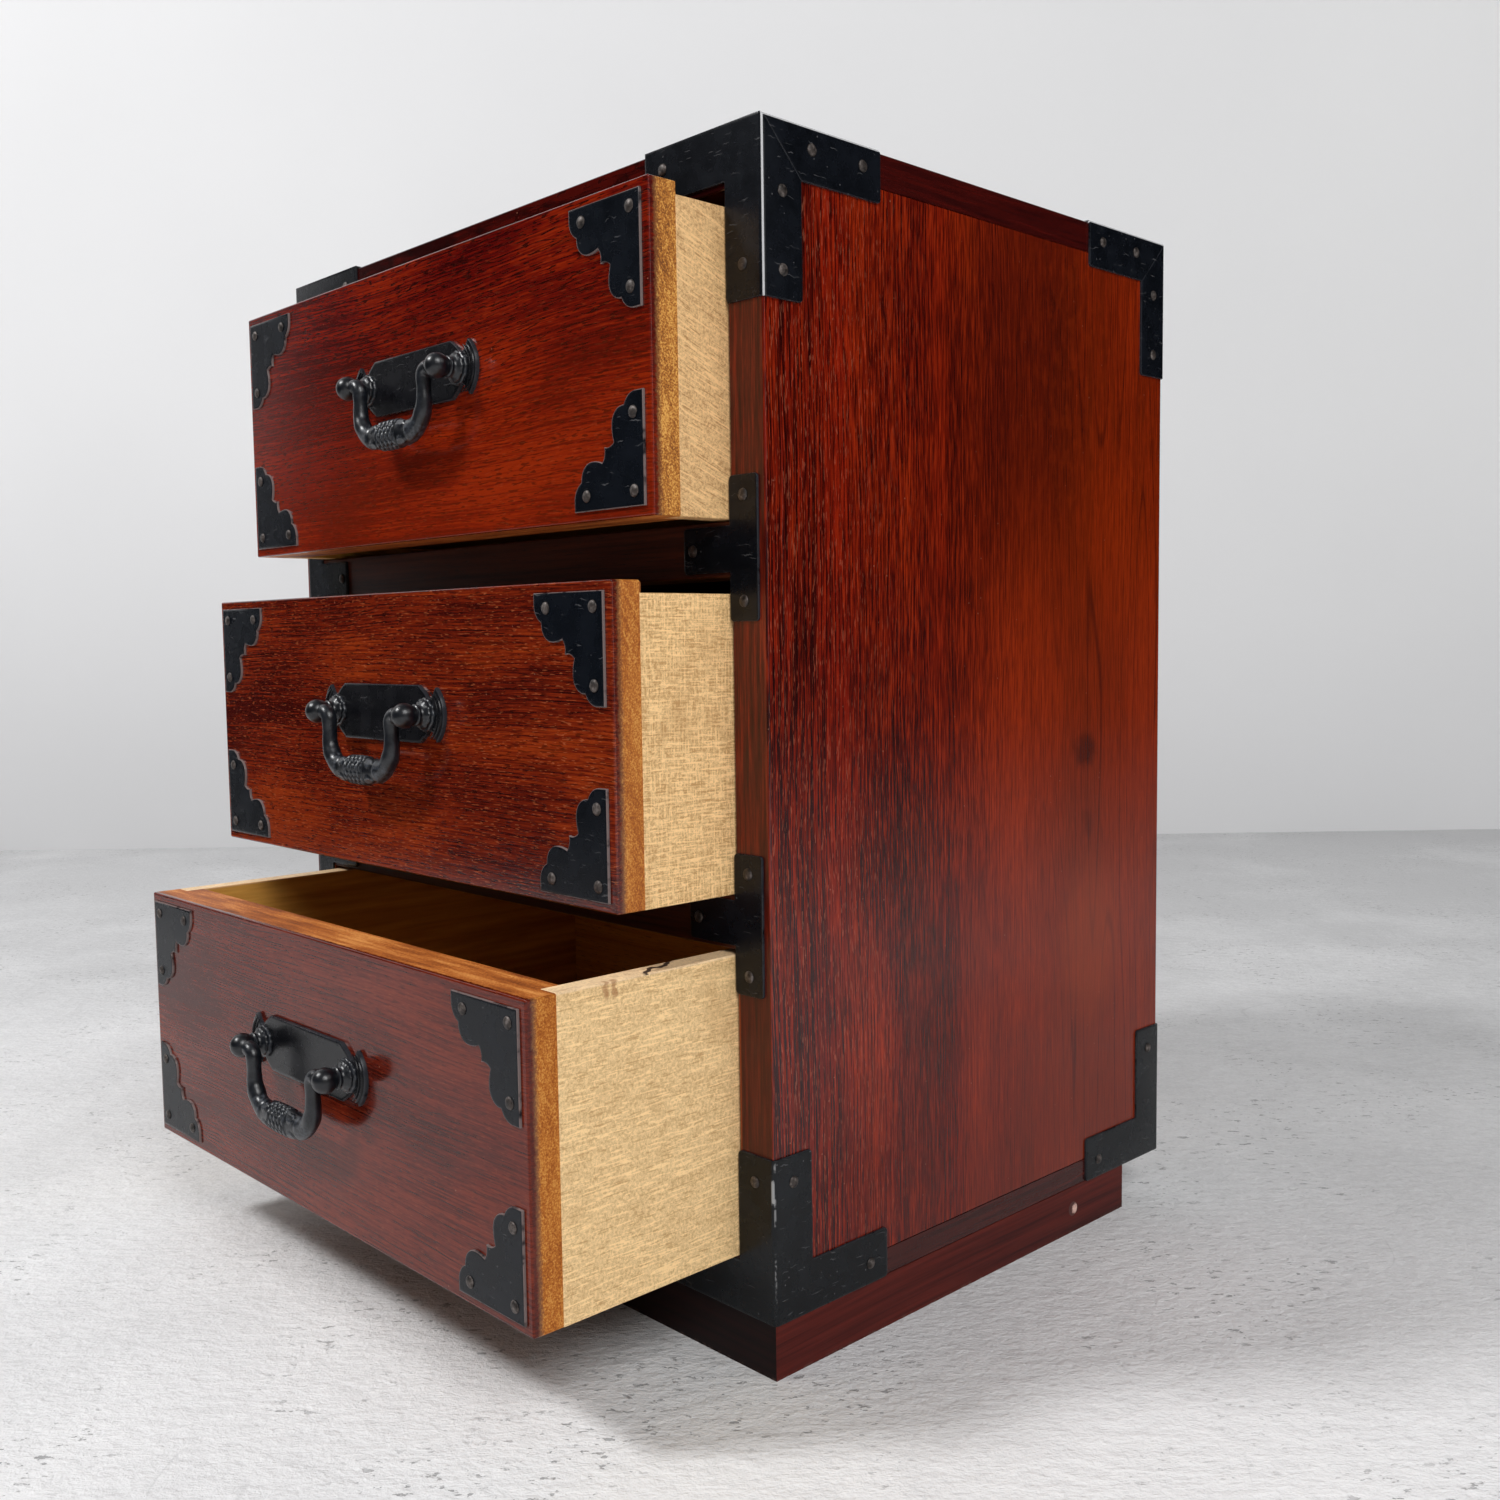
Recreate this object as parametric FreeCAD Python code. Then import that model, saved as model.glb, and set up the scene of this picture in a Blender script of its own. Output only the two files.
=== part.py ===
import FreeCAD, Part
import math
import os

# Small tansu chest: a lacquered wooden case on a low plinth, with three drawers one
# above the other, iron plates at its corners and a hanging iron handle on each drawer.
#
# Millimetres. Looking at the front, +X is to the right, +Y goes to the back, +Z is up.
# The origin is on the floor under the front board of the plinth, half way across.
# The drawers stand part way out, each by its own pull, and the handles hang down.

V = FreeCAD.Vector
X_AXIS = V(1, 0, 0)
Y_AXIS = V(0, 1, 0)
Z_AXIS = V(0, 0, 1)
FRONT = V(0, -1, 0)
BACK = V(0, 1, 0)

# ---- Driving dimensions ---------------------------------------------------------

# Case
case_width = 270.0
case_depth = 208.0
case_height = 360.0
origin_behind_front = 8.0
side_board = 14.2
top_board = 16.8
bottom_board = 16.6
top_rabbet = 6.6
bottom_rabbet = 8.3
eased_edge = 0.6

# Plinth: a mitred front and two sides that stop short of the back, and a cross board
plinth_height = 16.8
plinth_board = 16.0
plinth_toe = 23.4
cross_board_from_back = 56.0
plug_radius = 2.6
plug_length = 4.0
plug_from_floor = 8.6
screw_radius = 1.8
screw_length = 24.0

# Rails between the drawers, and the runners behind them
rail_height = 16.0
rail_depth = 20.0
tenon_length = 6.0
tenon_height = 8.0
tenon_depth = 10.0
runner_width = 12.0
runner_height = 10.0

# Back panel and its small nails
back_panel = 4.0
back_rabbet = 5.0
pin_radius = 0.6
pin_head_radius = 1.6
pin_head = 0.5
pin_length = 9.0
pins_across = 4
pins_up = 5
pin_clear_of_plate = 12.0

# Drawers
drawer_pull = {"lower": 74.8, "middle": 43.9, "upper": 28.5}
side_drop = {"lower": 0.0, "middle": 3.5, "upper": 3.5}
front_board = 16.5
front_end = 9.8
side_gap = 0.5
running_gap = 0.4
head_gap = 1.3
rear_gap = 6.0
box_board = 7.5
box_eased_edge = 0.4
floor_panel = 4.0
floor_lift = 5.0
floor_groove = 3.5

# Folded sheet iron on the corners of the case, and the plates at the rails
sheet = 0.8
arm_length = 49.5
arm_width = 15.8
arm_round = 1.2
fold_radius = 0.7
same_place = 0.01
mitre_gap = 0.3
strip_height = 41.5
strip_from_edge = 2.7
rail_arm_length = 19.8
rail_arm_height = 13.4

# Scalloped plates on the corners of the drawer fronts, measured along the two legs
scallop_sheet = 0.8
scallop_inset = 2.8
scallop_leg = 31.6
scallop_end = 2.8
scallop_end_bulge = (30.9, 6.0)
scallop_outer_notch = (28.2, 8.4)
scallop_lobe = (26.6, 12.6)
scallop_lobe_end = (23.6, 13.9)
scallop_dip = (21.0, 13.8)
scallop_inner_notch = (18.4, 13.1)
scallop_centre_bulge = (17.3, 15.2)
scallop_centre = 17.4

# Domed nails
nail_head_radius = 1.9
nail_head = 0.8
dome_shoulder = 0.71
nail_shank = 0.7
nail_length = 6.0
nail_fit = 0.05
nail_row = 6.5
nail_column = 8.0
nail_near = 20.0
nail_far = 41.5
front_nail_down = 39.7
nail_on_top = 33.0
strip_nail_pitch = 30.0
rail_nail_in = 15.8
scallop_nail_inset = 4.3
scallop_nail_far = 25.8

# Handle plate, outlined from its centre
handle_raise = 6.6
plate_sheet = 1.4
plate_half_width = 23.5
plate_half_height = 9.2
plate_notch_start = (27.4, 6.6)
plate_notch = (29.6, 5.2)
plate_notch_end = (31.6, 5.9)
plate_tip = (33.4, 8.6)
plate_end = 37.8

# Handle posts, their nuts, and the bail that hangs between their balls
post_pitch = 56.0
post_reach = 9.2
ball_radius = 4.0
neck_radius = 3.1
boss_radius = 5.4
boss_rim = 1.0
boss_height = 3.2
post_shank = 2.0
shank_fit = 0.1
shank_end = 1.0
nut_flats = 7.0
nut_height = 3.0
pivot_radius = 1.4
pivot_fit = 0.08
pivot_length = 3.4
bail_air = 0.3
bail_width = 40.0
bail_rod = 2.5
bail_bend = 2.8
bail_leg = 9.0
bail_drop = 18.4
grip_half_height = 4.9
grip_half_depth = 3.5
grip_shoulder = 5.3
corner_growth = 0.7
shoulder_growth = 0.95

# ---- Planes and levels that follow from them --------------------------------------

half_width = case_width / 2
case_front = -origin_behind_front
case_back = case_front + case_depth
mid_depth = (case_front + case_back) / 2
opening_half = half_width - side_board
floor_level = plinth_height + bottom_board
ceiling_level = case_height - top_board
side_bottom = floor_level - bottom_rabbet
side_top = ceiling_level + top_rabbet
opening_height = (ceiling_level - floor_level - 2 * rail_height) / 3
storey = opening_height + rail_height
rail_levels = {"lower": floor_level + opening_height, "upper": floor_level + opening_height + storey}
drawer_floors = {"lower": floor_level, "middle": floor_level + storey, "upper": floor_level + 2 * storey}
drawer_half = opening_half - side_gap
drawer_height = opening_height - running_gap - head_gap
drawer_length = case_depth - back_panel - rear_gap
box_inner_half = drawer_half - box_board
arm_over_edge = side_board + sheet
post_side = post_pitch / 2

nodes = {}


# ---- Shapes used throughout ---------------------------------------------------------

def block(x0, y0, z0, x1, y1, z1):
    return Part.makeBox(x1 - x0, y1 - y0, z1 - z0, V(x0, y0, z0))


def eased(solid, radius):
    """A plain block with all its edges rounded a little."""
    return solid.makeFillet(radius, solid.Edges)


def rod(start, direction, radius, length):
    return Part.makeCylinder(radius, length, start, direction)


def to_left(shape):
    return shape.mirror(V(0, 0, 0), X_AXIS)


def to_back(shape):
    return shape.mirror(V(0, mid_depth, 0), Y_AXIS)


def joined(shapes):
    first = shapes[0]
    return first.fuse(shapes[1:]).removeSplitter()


def rounded_outline(points):
    """Closed wire through (u, v) or (u, v, radius) points in the XY plane.

    A point with a radius is a corner rounded by a tangent arc.
    """
    corners = []
    count = len(points)
    for i, point in enumerate(points):
        here = V(point[0], point[1], 0)
        radius = point[2] if len(point) == 3 else 0
        before = V(points[i - 1][0], points[i - 1][1], 0)
        after = V(points[(i + 1) % count][0], points[(i + 1) % count][1], 0)
        if radius == 0:
            corners.append((here, here, None))
            continue
        back = (before - here).normalize()
        on = (after - here).normalize()
        half_angle = back.getAngle(on) / 2
        reach = radius / math.tan(half_angle)
        middle = here + (back + on).normalize() * (radius / math.sin(half_angle) - radius)
        corners.append((here + back * reach, here + on * reach, middle))
    edges = []
    for i, (start, end, middle) in enumerate(corners):
        if middle is not None:
            edges.append(Part.Arc(start, middle, end).toShape())
        edges.append(Part.LineSegment(end, corners[(i + 1) % count][0]).toShape())
    return Part.Wire(edges)


def cut_sheet(wire, thickness, origin, across, along, out):
    """A flat sheet from an outline: u runs across, v along, and it thickens outward."""
    normal = across.cross(along)
    solid = Part.Face(wire).extrude(Z_AXIS * (thickness * normal.dot(out)))
    solid.Placement = FreeCAD.Placement(FreeCAD.Matrix(
        across.x, along.x, normal.x, origin.x,
        across.y, along.y, normal.y, origin.y,
        across.z, along.z, normal.z, origin.z,
        0, 0, 0, 1))
    return solid


def revolved(profile, base, direction):
    """A solid of revolution. The profile lies in the XZ plane, with Z as its axis."""
    solid = Part.Face(Part.Wire(profile)).revolve(V(0, 0, 0), Z_AXIS, 360)
    solid.Placement = FreeCAD.Placement(base, FreeCAD.Rotation(Z_AXIS, direction))
    return solid


def line(start, end):
    return Part.LineSegment(V(*start), V(*end)).toShape()


def arc(start, middle, end):
    return Part.Arc(V(*start), V(*middle), V(*end)).toShape()


def folded(leaves, corner, run):
    """Leaves of sheet iron joined along the fold that runs through the corner."""
    solid = joined(leaves)
    edges = [edge for edge in solid.Edges
             if (edge.CenterOfMass - corner).cross(run).Length < same_place]
    return solid.makeFillet(fold_radius, edges)


# ---- Nails -------------------------------------------------------------------------

def domed_nail(point, out):
    """A nail whose head stands on the surface at point, with its shank going in."""
    profile = [
        arc((0, 0, nail_head), (dome_shoulder * nail_head_radius, 0, dome_shoulder * nail_head), (nail_head_radius, 0, 0)),
        line((nail_head_radius, 0, 0), (nail_shank, 0, 0)),
        line((nail_shank, 0, 0), (nail_shank, 0, -nail_length)),
        line((nail_shank, 0, -nail_length), (0, 0, -nail_length)),
        line((0, 0, -nail_length), (0, 0, nail_head)),
    ]
    return revolved(profile, point, out)


def nail_hole(point, out):
    depth = nail_length + nail_fit
    return rod(point + out * nail_fit, out * -1, nail_shank + nail_fit, depth + nail_fit)


def drilled(solid, holes):
    """The solid with every hole that reaches it."""
    reaching = [hole for hole in holes if solid.BoundBox.intersect(hole.BoundBox)]
    return solid.cut(reaching) if reaching else solid


def four_corners(spots):
    """The (point, out) nail spots of the right-hand front corner, at all four corners."""
    spread = []
    for point, out in spots:
        for side in (1, -1):
            spread.append((V(side * point.x, point.y, point.z), V(side * out.x, out.y, out.z)))
            far_y = 2 * mid_depth - point.y
            spread.append((V(side * point.x, far_y, point.z), V(side * out.x, -out.y, out.z)))
    return spread


def top_corner_nails():
    side_x = half_width + sheet
    front_y = case_front - sheet
    top_z = case_height + sheet
    upper_row = top_z - nail_row
    return [
        (V(side_x - nail_column, front_y, top_z - front_nail_down), FRONT),
        (V(side_x - nail_far, front_y, upper_row), FRONT),
        (V(side_x, front_y + nail_near, upper_row), X_AXIS),
        (V(side_x, front_y + nail_far, upper_row), X_AXIS),
        (V(side_x, front_y + nail_column, top_z - nail_near), X_AXIS),
        (V(side_x, front_y + nail_column, top_z - nail_far), X_AXIS),
        (V(side_x - nail_on_top, front_y + nail_column, top_z), Z_AXIS),
        (V(side_x - nail_column, front_y + nail_on_top, top_z), Z_AXIS),
    ]


def bottom_corner_nails():
    side_x = half_width + sheet
    front_y = case_front - sheet
    lower_row = plinth_height + nail_row
    return [
        (V(side_x - nail_column, front_y, plinth_height + nail_far), FRONT),
        (V(side_x - nail_far, front_y, lower_row), FRONT),
        (V(side_x, front_y + nail_column, plinth_height + nail_far), X_AXIS),
        (V(side_x, front_y + nail_far, lower_row), X_AXIS),
    ]


def rail_plate_nails():
    spots = []
    strip_middle = (opening_half + half_width - strip_from_edge) / 2
    front_y = case_front - sheet
    for level in rail_levels.values():
        middle = level + rail_height / 2
        for side in (1, -1):
            for step in (-1, 1):
                height = middle + step * strip_nail_pitch / 2
                spots.append((V(side * strip_middle, front_y, height), FRONT))
            spots.append((V(side * (opening_half - rail_nail_in), front_y, middle), FRONT))
    return spots


case_nail_spots = four_corners(top_corner_nails() + bottom_corner_nails()) + rail_plate_nails()
case_nail_holes = [nail_hole(point, out) for point, out in case_nail_spots]


# ---- Back panel and its nails --------------------------------------------------------

def back_panel_block():
    reach = opening_half + back_rabbet
    return block(-reach, case_back - back_panel, floor_level - back_rabbet,
                 reach, case_back, ceiling_level + back_rabbet)


def pin_spots():
    """Points along all four edges of the back panel, clear of the corner plates."""
    clear = arm_length + pin_clear_of_plate
    span = half_width - clear
    edge = opening_half + back_rabbet / 2
    spots = []
    for i in range(pins_across):
        x = -span + 2 * span * i / (pins_across - 1)
        spots.append(V(x, case_back, ceiling_level + back_rabbet / 2))
        spots.append(V(x, case_back, floor_level - back_rabbet / 2))
    low = plinth_height + clear
    high = case_height - clear
    for i in range(pins_up):
        z = low + (high - low) * i / (pins_up - 1)
        spots.append(V(edge, case_back, z))
        spots.append(V(-edge, case_back, z))
    return spots


def back_pin(point):
    shank = rod(point - Y_AXIS * pin_length, Y_AXIS, pin_radius, pin_length)
    head = rod(point, Y_AXIS, pin_head_radius, pin_head)
    return shank.fuse(head)


pin_holes = [rod(spot - Y_AXIS * pin_length, Y_AXIS, pin_radius, pin_length) for spot in pin_spots()]
nodes["back_panel"] = drilled(back_panel_block(), pin_holes)
nodes["back_panel_nails"] = Part.makeCompound([back_pin(spot) for spot in pin_spots()])


# ---- Boards of the case ----------------------------------------------------------------

def tenon_bar(level):
    """The full length of a rail's stub tenons, which is also what its mortises let in."""
    middle_y = case_front + rail_depth / 2
    middle_z = level + rail_height / 2
    reach = opening_half + tenon_length
    return block(-reach, middle_y - tenon_depth / 2, middle_z - tenon_height / 2,
                 reach, middle_y + tenon_depth / 2, middle_z + tenon_height / 2)


def case_rail(level):
    body = block(-opening_half, case_front, level, opening_half, case_front + rail_depth, level + rail_height)
    return eased(body, eased_edge).fuse(tenon_bar(level)).removeSplitter()


def case_side(board):
    """A side from its plain board: mortised, rabbeted for the back panel, and drilled."""
    board = board.cut([tenon_bar(level) for level in rail_levels.values()] + [back_panel_block()])
    return drilled(board, case_nail_holes + pin_holes)


def case_end_board(low, high, rabbet_low, rabbet_high):
    """The top or the bottom board, rabbeted at both ends for the case sides."""
    board = eased(block(-half_width, case_front, low, half_width, case_back, high), eased_edge)
    right_rabbet = block(opening_half, case_front, rabbet_low, half_width, case_back, rabbet_high)
    board = board.cut([right_rabbet, to_left(right_rabbet), back_panel_block()])
    return drilled(board, case_nail_holes + pin_holes)


def runners():
    """Strips on the case sides, level with each rail, that carry the two upper drawers."""
    strips = []
    for level in rail_levels.values():
        top = level + rail_height
        strip = block(opening_half - runner_width, case_front + rail_depth, top - runner_height,
                      opening_half, case_back - back_panel, top)
        strips += [strip, to_left(strip)]
    return Part.makeCompound(strips)


side_blank = eased(block(opening_half, case_front, side_bottom, half_width, case_back, side_top), eased_edge)
nodes["side_right"] = case_side(side_blank)
nodes["side_left"] = case_side(to_left(side_blank))
nodes["top_board"] = case_end_board(ceiling_level, case_height, ceiling_level, side_top)
nodes["bottom_board"] = case_end_board(plinth_height, floor_level, side_bottom, floor_level)
for name, level in rail_levels.items():
    nodes["rail_" + name] = drilled(case_rail(level), case_nail_holes)
nodes["drawer_runners"] = runners()


# ---- Plinth ------------------------------------------------------------------------------

def plinth_prism(points):
    wire = rounded_outline(points)
    return Part.Face(wire).extrude(Z_AXIS * plinth_height)


def plinth_front():
    inner = half_width - plinth_board
    return plinth_prism([
        (-half_width, case_front),
        (half_width, case_front),
        (inner, case_front + plinth_board),
        (-inner, case_front + plinth_board),
    ])


def plinth_side():
    inner = half_width - plinth_board
    return plinth_prism([
        (half_width, case_front),
        (half_width, case_back - plinth_toe),
        (inner, case_back - plinth_toe),
        (inner, case_front + plinth_board),
    ])


def plinth_screw():
    """A countersunk wood screw from the bottom of the plug's pocket into the cross board."""
    start = V(half_width - plug_length, case_back - cross_board_from_back, plug_from_floor)
    head_depth = plug_radius - screw_radius
    shank = rod(start, X_AXIS * -1, screw_radius, screw_length)
    head = Part.makeCone(plug_radius, screw_radius, head_depth, start, X_AXIS * -1)
    return shank.fuse(head).removeSplitter()


def plinth_plug():
    start = V(half_width, case_back - cross_board_from_back, plug_from_floor)
    return rod(start, X_AXIS * -1, plug_radius, plug_length)


cross_y = case_back - cross_board_from_back
cross_board = block(-half_width + plinth_board, cross_y - plinth_board / 2, 0,
                    half_width - plinth_board, cross_y + plinth_board / 2, plinth_height)
right_side = plinth_side().cut([plinth_screw(), plinth_plug()])
nodes["plinth_front"] = plinth_front()
nodes["plinth_right"] = right_side
nodes["plinth_left"] = to_left(right_side)
nodes["plinth_cross_board"] = cross_board.cut([plinth_screw(), to_left(plinth_screw())])
nodes["plinth_screws"] = Part.makeCompound([plinth_screw(), to_left(plinth_screw())])
nodes["plinth_plugs"] = Part.makeCompound([plinth_plug(), to_left(plinth_plug())])


# ---- Folded plates on the corners of the case ---------------------------------------------

def angle_outline(width):
    """An L whose corner is at (0, 0): one arm of the given width goes along v."""
    return rounded_outline([
        (0, 0),
        (arm_length, 0, arm_round),
        (arm_length, arm_width, arm_round),
        (width, arm_width),
        (width, arm_length, arm_round),
        (0, arm_length),
    ])


def top_corner():
    """Two folded leaves: front and side, and top and side. They meet in a mitre."""
    corner = V(half_width + sheet, case_front - sheet, case_height + sheet)
    half_gap = mitre_gap / 2
    front_leaf = cut_sheet(angle_outline(arm_over_edge), sheet,
                           V(corner.x, case_front, corner.z), X_AXIS * -1, Z_AXIS * -1, FRONT)
    lower_flap = cut_sheet(rounded_outline([
        (0, half_gap),
        (arm_width, arm_width + half_gap),
        (arm_width, arm_length, arm_round),
        (0, arm_length),
    ]), sheet, V(half_width, corner.y, corner.z), Y_AXIS, Z_AXIS * -1, X_AXIS)
    top_leaf = cut_sheet(rounded_outline([
        (0, sheet),
        (arm_length, sheet, arm_round),
        (arm_length, arm_width, arm_round),
        (arm_width, arm_width),
        (arm_width, arm_length, arm_round),
        (0, arm_length),
    ]), sheet, V(corner.x, corner.y, case_height), X_AXIS * -1, Y_AXIS, Z_AXIS)
    upper_flap = cut_sheet(rounded_outline([
        (sheet, 0),
        (arm_length, 0),
        (arm_length, arm_width, arm_round),
        (arm_width + half_gap, arm_width),
        (sheet, sheet - half_gap),
    ]), sheet, V(half_width, corner.y, corner.z), Y_AXIS, Z_AXIS * -1, X_AXIS)
    front_and_side = folded([front_leaf, lower_flap], corner, Z_AXIS)
    top_and_side = folded([top_leaf, upper_flap], corner, Y_AXIS)
    return [front_and_side, top_and_side]


def bottom_corner():
    """One leaf folded round the upright edge."""
    corner = V(half_width + sheet, case_front - sheet, plinth_height)
    front_leaf = cut_sheet(angle_outline(arm_over_edge), sheet,
                           V(corner.x, case_front, corner.z), X_AXIS * -1, Z_AXIS, FRONT)
    side_leaf = cut_sheet(angle_outline(arm_width), sheet,
                          V(half_width, corner.y, corner.z), Y_AXIS, Z_AXIS, X_AXIS)
    return [folded([front_leaf, side_leaf], corner, Z_AXIS)]


for level, leaves in (("top", top_corner()), ("bottom", bottom_corner())):
    leaves = [drilled(leaf, case_nail_holes) for leaf in leaves]
    at_back = [to_back(leaf) for leaf in leaves]
    nodes[level + "_corner_front_right"] = Part.makeCompound(leaves)
    nodes[level + "_corner_front_left"] = Part.makeCompound([to_left(leaf) for leaf in leaves])
    nodes[level + "_corner_back_right"] = Part.makeCompound(at_back)
    nodes[level + "_corner_back_left"] = Part.makeCompound([to_left(leaf) for leaf in at_back])


# ---- Plates at the ends of the rails ----------------------------------------------------------

def rail_plate(middle):
    """A strip on the edge of the case side, with one arm along the rail."""
    inner = opening_half
    outer = half_width - strip_from_edge
    arm_end = opening_half - rail_arm_length
    half_strip = strip_height / 2
    half_arm = rail_arm_height / 2
    outline = rounded_outline([
        (inner, -half_strip, arm_round),
        (outer, -half_strip, arm_round),
        (outer, half_strip, arm_round),
        (inner, half_strip, arm_round),
        (inner, half_arm),
        (arm_end, half_arm, arm_round),
        (arm_end, -half_arm, arm_round),
        (inner, -half_arm),
    ])
    return cut_sheet(outline, sheet, V(0, case_front - sheet, middle), X_AXIS, Z_AXIS, Y_AXIS)


right_plates = [drilled(rail_plate(level + rail_height / 2), case_nail_holes)
                for level in rail_levels.values()]
nodes["rail_plates_right"] = Part.makeCompound(right_plates)
nodes["rail_plates_left"] = Part.makeCompound([to_left(plate) for plate in right_plates])
nodes["case_nails"] = Part.makeCompound([domed_nail(point, out) for point, out in case_nail_spots])


# ---- Drawers ------------------------------------------------------------------------------------

def scallop_outline():
    """The plate's two straight legs, and its stepped edge, alike about the diagonal."""
    def swapped(point):
        return (point[1], point[0])

    def edge(start, middle, end):
        return arc((*start, 0), (*middle, 0), (*end, 0))

    leg_end = (scallop_leg, 0)
    leg_side = (scallop_leg, scallop_end)
    centre = (scallop_centre, scallop_centre)
    steps = [
        (leg_side, scallop_end_bulge, scallop_outer_notch),
        (scallop_outer_notch, scallop_lobe, scallop_lobe_end),
        (scallop_lobe_end, scallop_dip, scallop_inner_notch),
        (scallop_inner_notch, scallop_centre_bulge, centre),
    ]
    edges = [line((0, 0, 0), (*leg_end, 0)), line((*leg_end, 0), (*leg_side, 0))]
    edges += [edge(*step) for step in steps]
    edges += [edge(swapped(end), swapped(middle), swapped(start)) for start, middle, end in reversed(steps)]
    edges += [line((*swapped(leg_side), 0), (*swapped(leg_end), 0)), line((*swapped(leg_end), 0), (0, 0, 0))]
    return Part.Wire(edges)


def scallop_corners(low, high):
    """Corner point and the two inward directions of each of a front's four plates."""
    reach = drawer_half - scallop_inset
    for side in (1, -1):
        for height, down in ((high - scallop_inset, -1), (low + scallop_inset, 1)):
            yield V(side * reach, 0, height), X_AXIS * -side, Z_AXIS * down


def scallop_plates(face_y, low, high):
    """The four plates of one front, and the spots of their nails."""
    plates = []
    spots = []
    for corner, inward, along in scallop_corners(low, high):
        origin = V(corner.x, face_y, corner.z)
        plates.append(cut_sheet(scallop_outline(), scallop_sheet, origin, inward, along, FRONT))
        near = scallop_nail_inset
        for u, v in ((near, near), (scallop_nail_far, near), (near, scallop_nail_far)):
            spots.append((origin + inward * u + along * v + FRONT * scallop_sheet, FRONT))
    return plates, spots


def handle_plate(centre):
    """A flat plate with notched corners and an end like a crescent on each side."""
    def right(point, flip):
        return (point[0], point[1] * flip, 0)

    def left(point, flip):
        return (-point[0], point[1] * flip, 0)

    shoulder = (plate_half_width, plate_half_height)
    end = (plate_end, 0)
    edges = []
    for place in (right, left):
        for flip in (1, -1):
            edges.append(line(place(shoulder, flip), place(plate_notch_start, flip)))
            edges.append(arc(place(plate_notch_start, flip), place(plate_notch, flip),
                             place(plate_notch_end, flip)))
            edges.append(line(place(plate_notch_end, flip), place(plate_tip, flip)))
        edges.append(arc(place(plate_tip, 1), place(end, 1), place(plate_tip, -1)))
    edges.append(line(left(shoulder, 1), right(shoulder, 1)))
    edges.append(line(left(shoulder, -1), right(shoulder, -1)))
    outline = Part.Wire(Part.sortEdges(edges)[0])
    plate = cut_sheet(outline, plate_sheet, centre, X_AXIS, Z_AXIS, FRONT)
    return plate.cut([post_hole(centre + X_AXIS * post_side), post_hole(centre - X_AXIS * post_side)])


def post_hole(spot):
    """The hole for a post's shank through the handle plate and the drawer front."""
    return rod(spot + FRONT * plate_sheet, BACK, post_shank + shank_fit, plate_sheet + front_board)


def handle_post(spot, towards_bail):
    """A cast post: threaded shank, flared boss, neck, and a ball drilled for the bail."""
    tail = -(front_board + nut_height + shank_end)
    boss_top = plate_sheet + boss_height
    ball_back = post_reach - math.sqrt(ball_radius ** 2 - neck_radius ** 2)
    hollow_r = (boss_radius + neck_radius) / 2 - boss_rim / 2
    hollow_z = plate_sheet + boss_rim + (boss_height - boss_rim) / 3
    profile = [
        line((0, 0, tail), (post_shank, 0, tail)),
        line((post_shank, 0, tail), (post_shank, 0, plate_sheet)),
        line((post_shank, 0, plate_sheet), (boss_radius, 0, plate_sheet)),
        line((boss_radius, 0, plate_sheet), (boss_radius, 0, plate_sheet + boss_rim)),
        arc((boss_radius, 0, plate_sheet + boss_rim), (hollow_r, 0, hollow_z), (neck_radius, 0, boss_top)),
        line((neck_radius, 0, boss_top), (neck_radius, 0, ball_back)),
        arc((neck_radius, 0, ball_back), (ball_radius, 0, post_reach), (0, 0, post_reach + ball_radius)),
        line((0, 0, post_reach + ball_radius), (0, 0, tail)),
    ]
    post = revolved(profile, spot, FRONT)
    mouth = spot + FRONT * post_reach + towards_bail * (ball_radius + bail_air)
    depth = bail_air + pivot_length + bail_air
    return post.cut(rod(mouth, towards_bail * -1, pivot_radius + pivot_fit, depth))


def handle_nut(spot):
    corner = nut_flats / math.sqrt(3)
    hexagon = [(corner * math.cos(math.radians(60 * i)), corner * math.sin(math.radians(60 * i)))
               for i in range(6)]
    face_back = spot + BACK * front_board
    body = cut_sheet(rounded_outline(hexagon), nut_height, face_back, X_AXIS, Z_AXIS, BACK)
    return body.cut(rod(face_back, BACK, post_shank, nut_height))


def bail_section(x, z, turn, half_height, half_depth):
    """An oval across the bail. turn is the angle of its upright axis, in degrees."""
    ring = Part.Wire(Part.Circle(V(0, 0, 0), Z_AXIS, 1).toShape())
    up_x = math.cos(math.radians(turn))
    up_z = math.sin(math.radians(turn))
    place = FreeCAD.Matrix(
        up_x * half_height, 0, -up_z, x,
        0, half_depth, 0, 0,
        up_z * half_height, 0, up_x, z,
        0, 0, 0, 1)
    return ring.transformGeometry(place)


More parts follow.
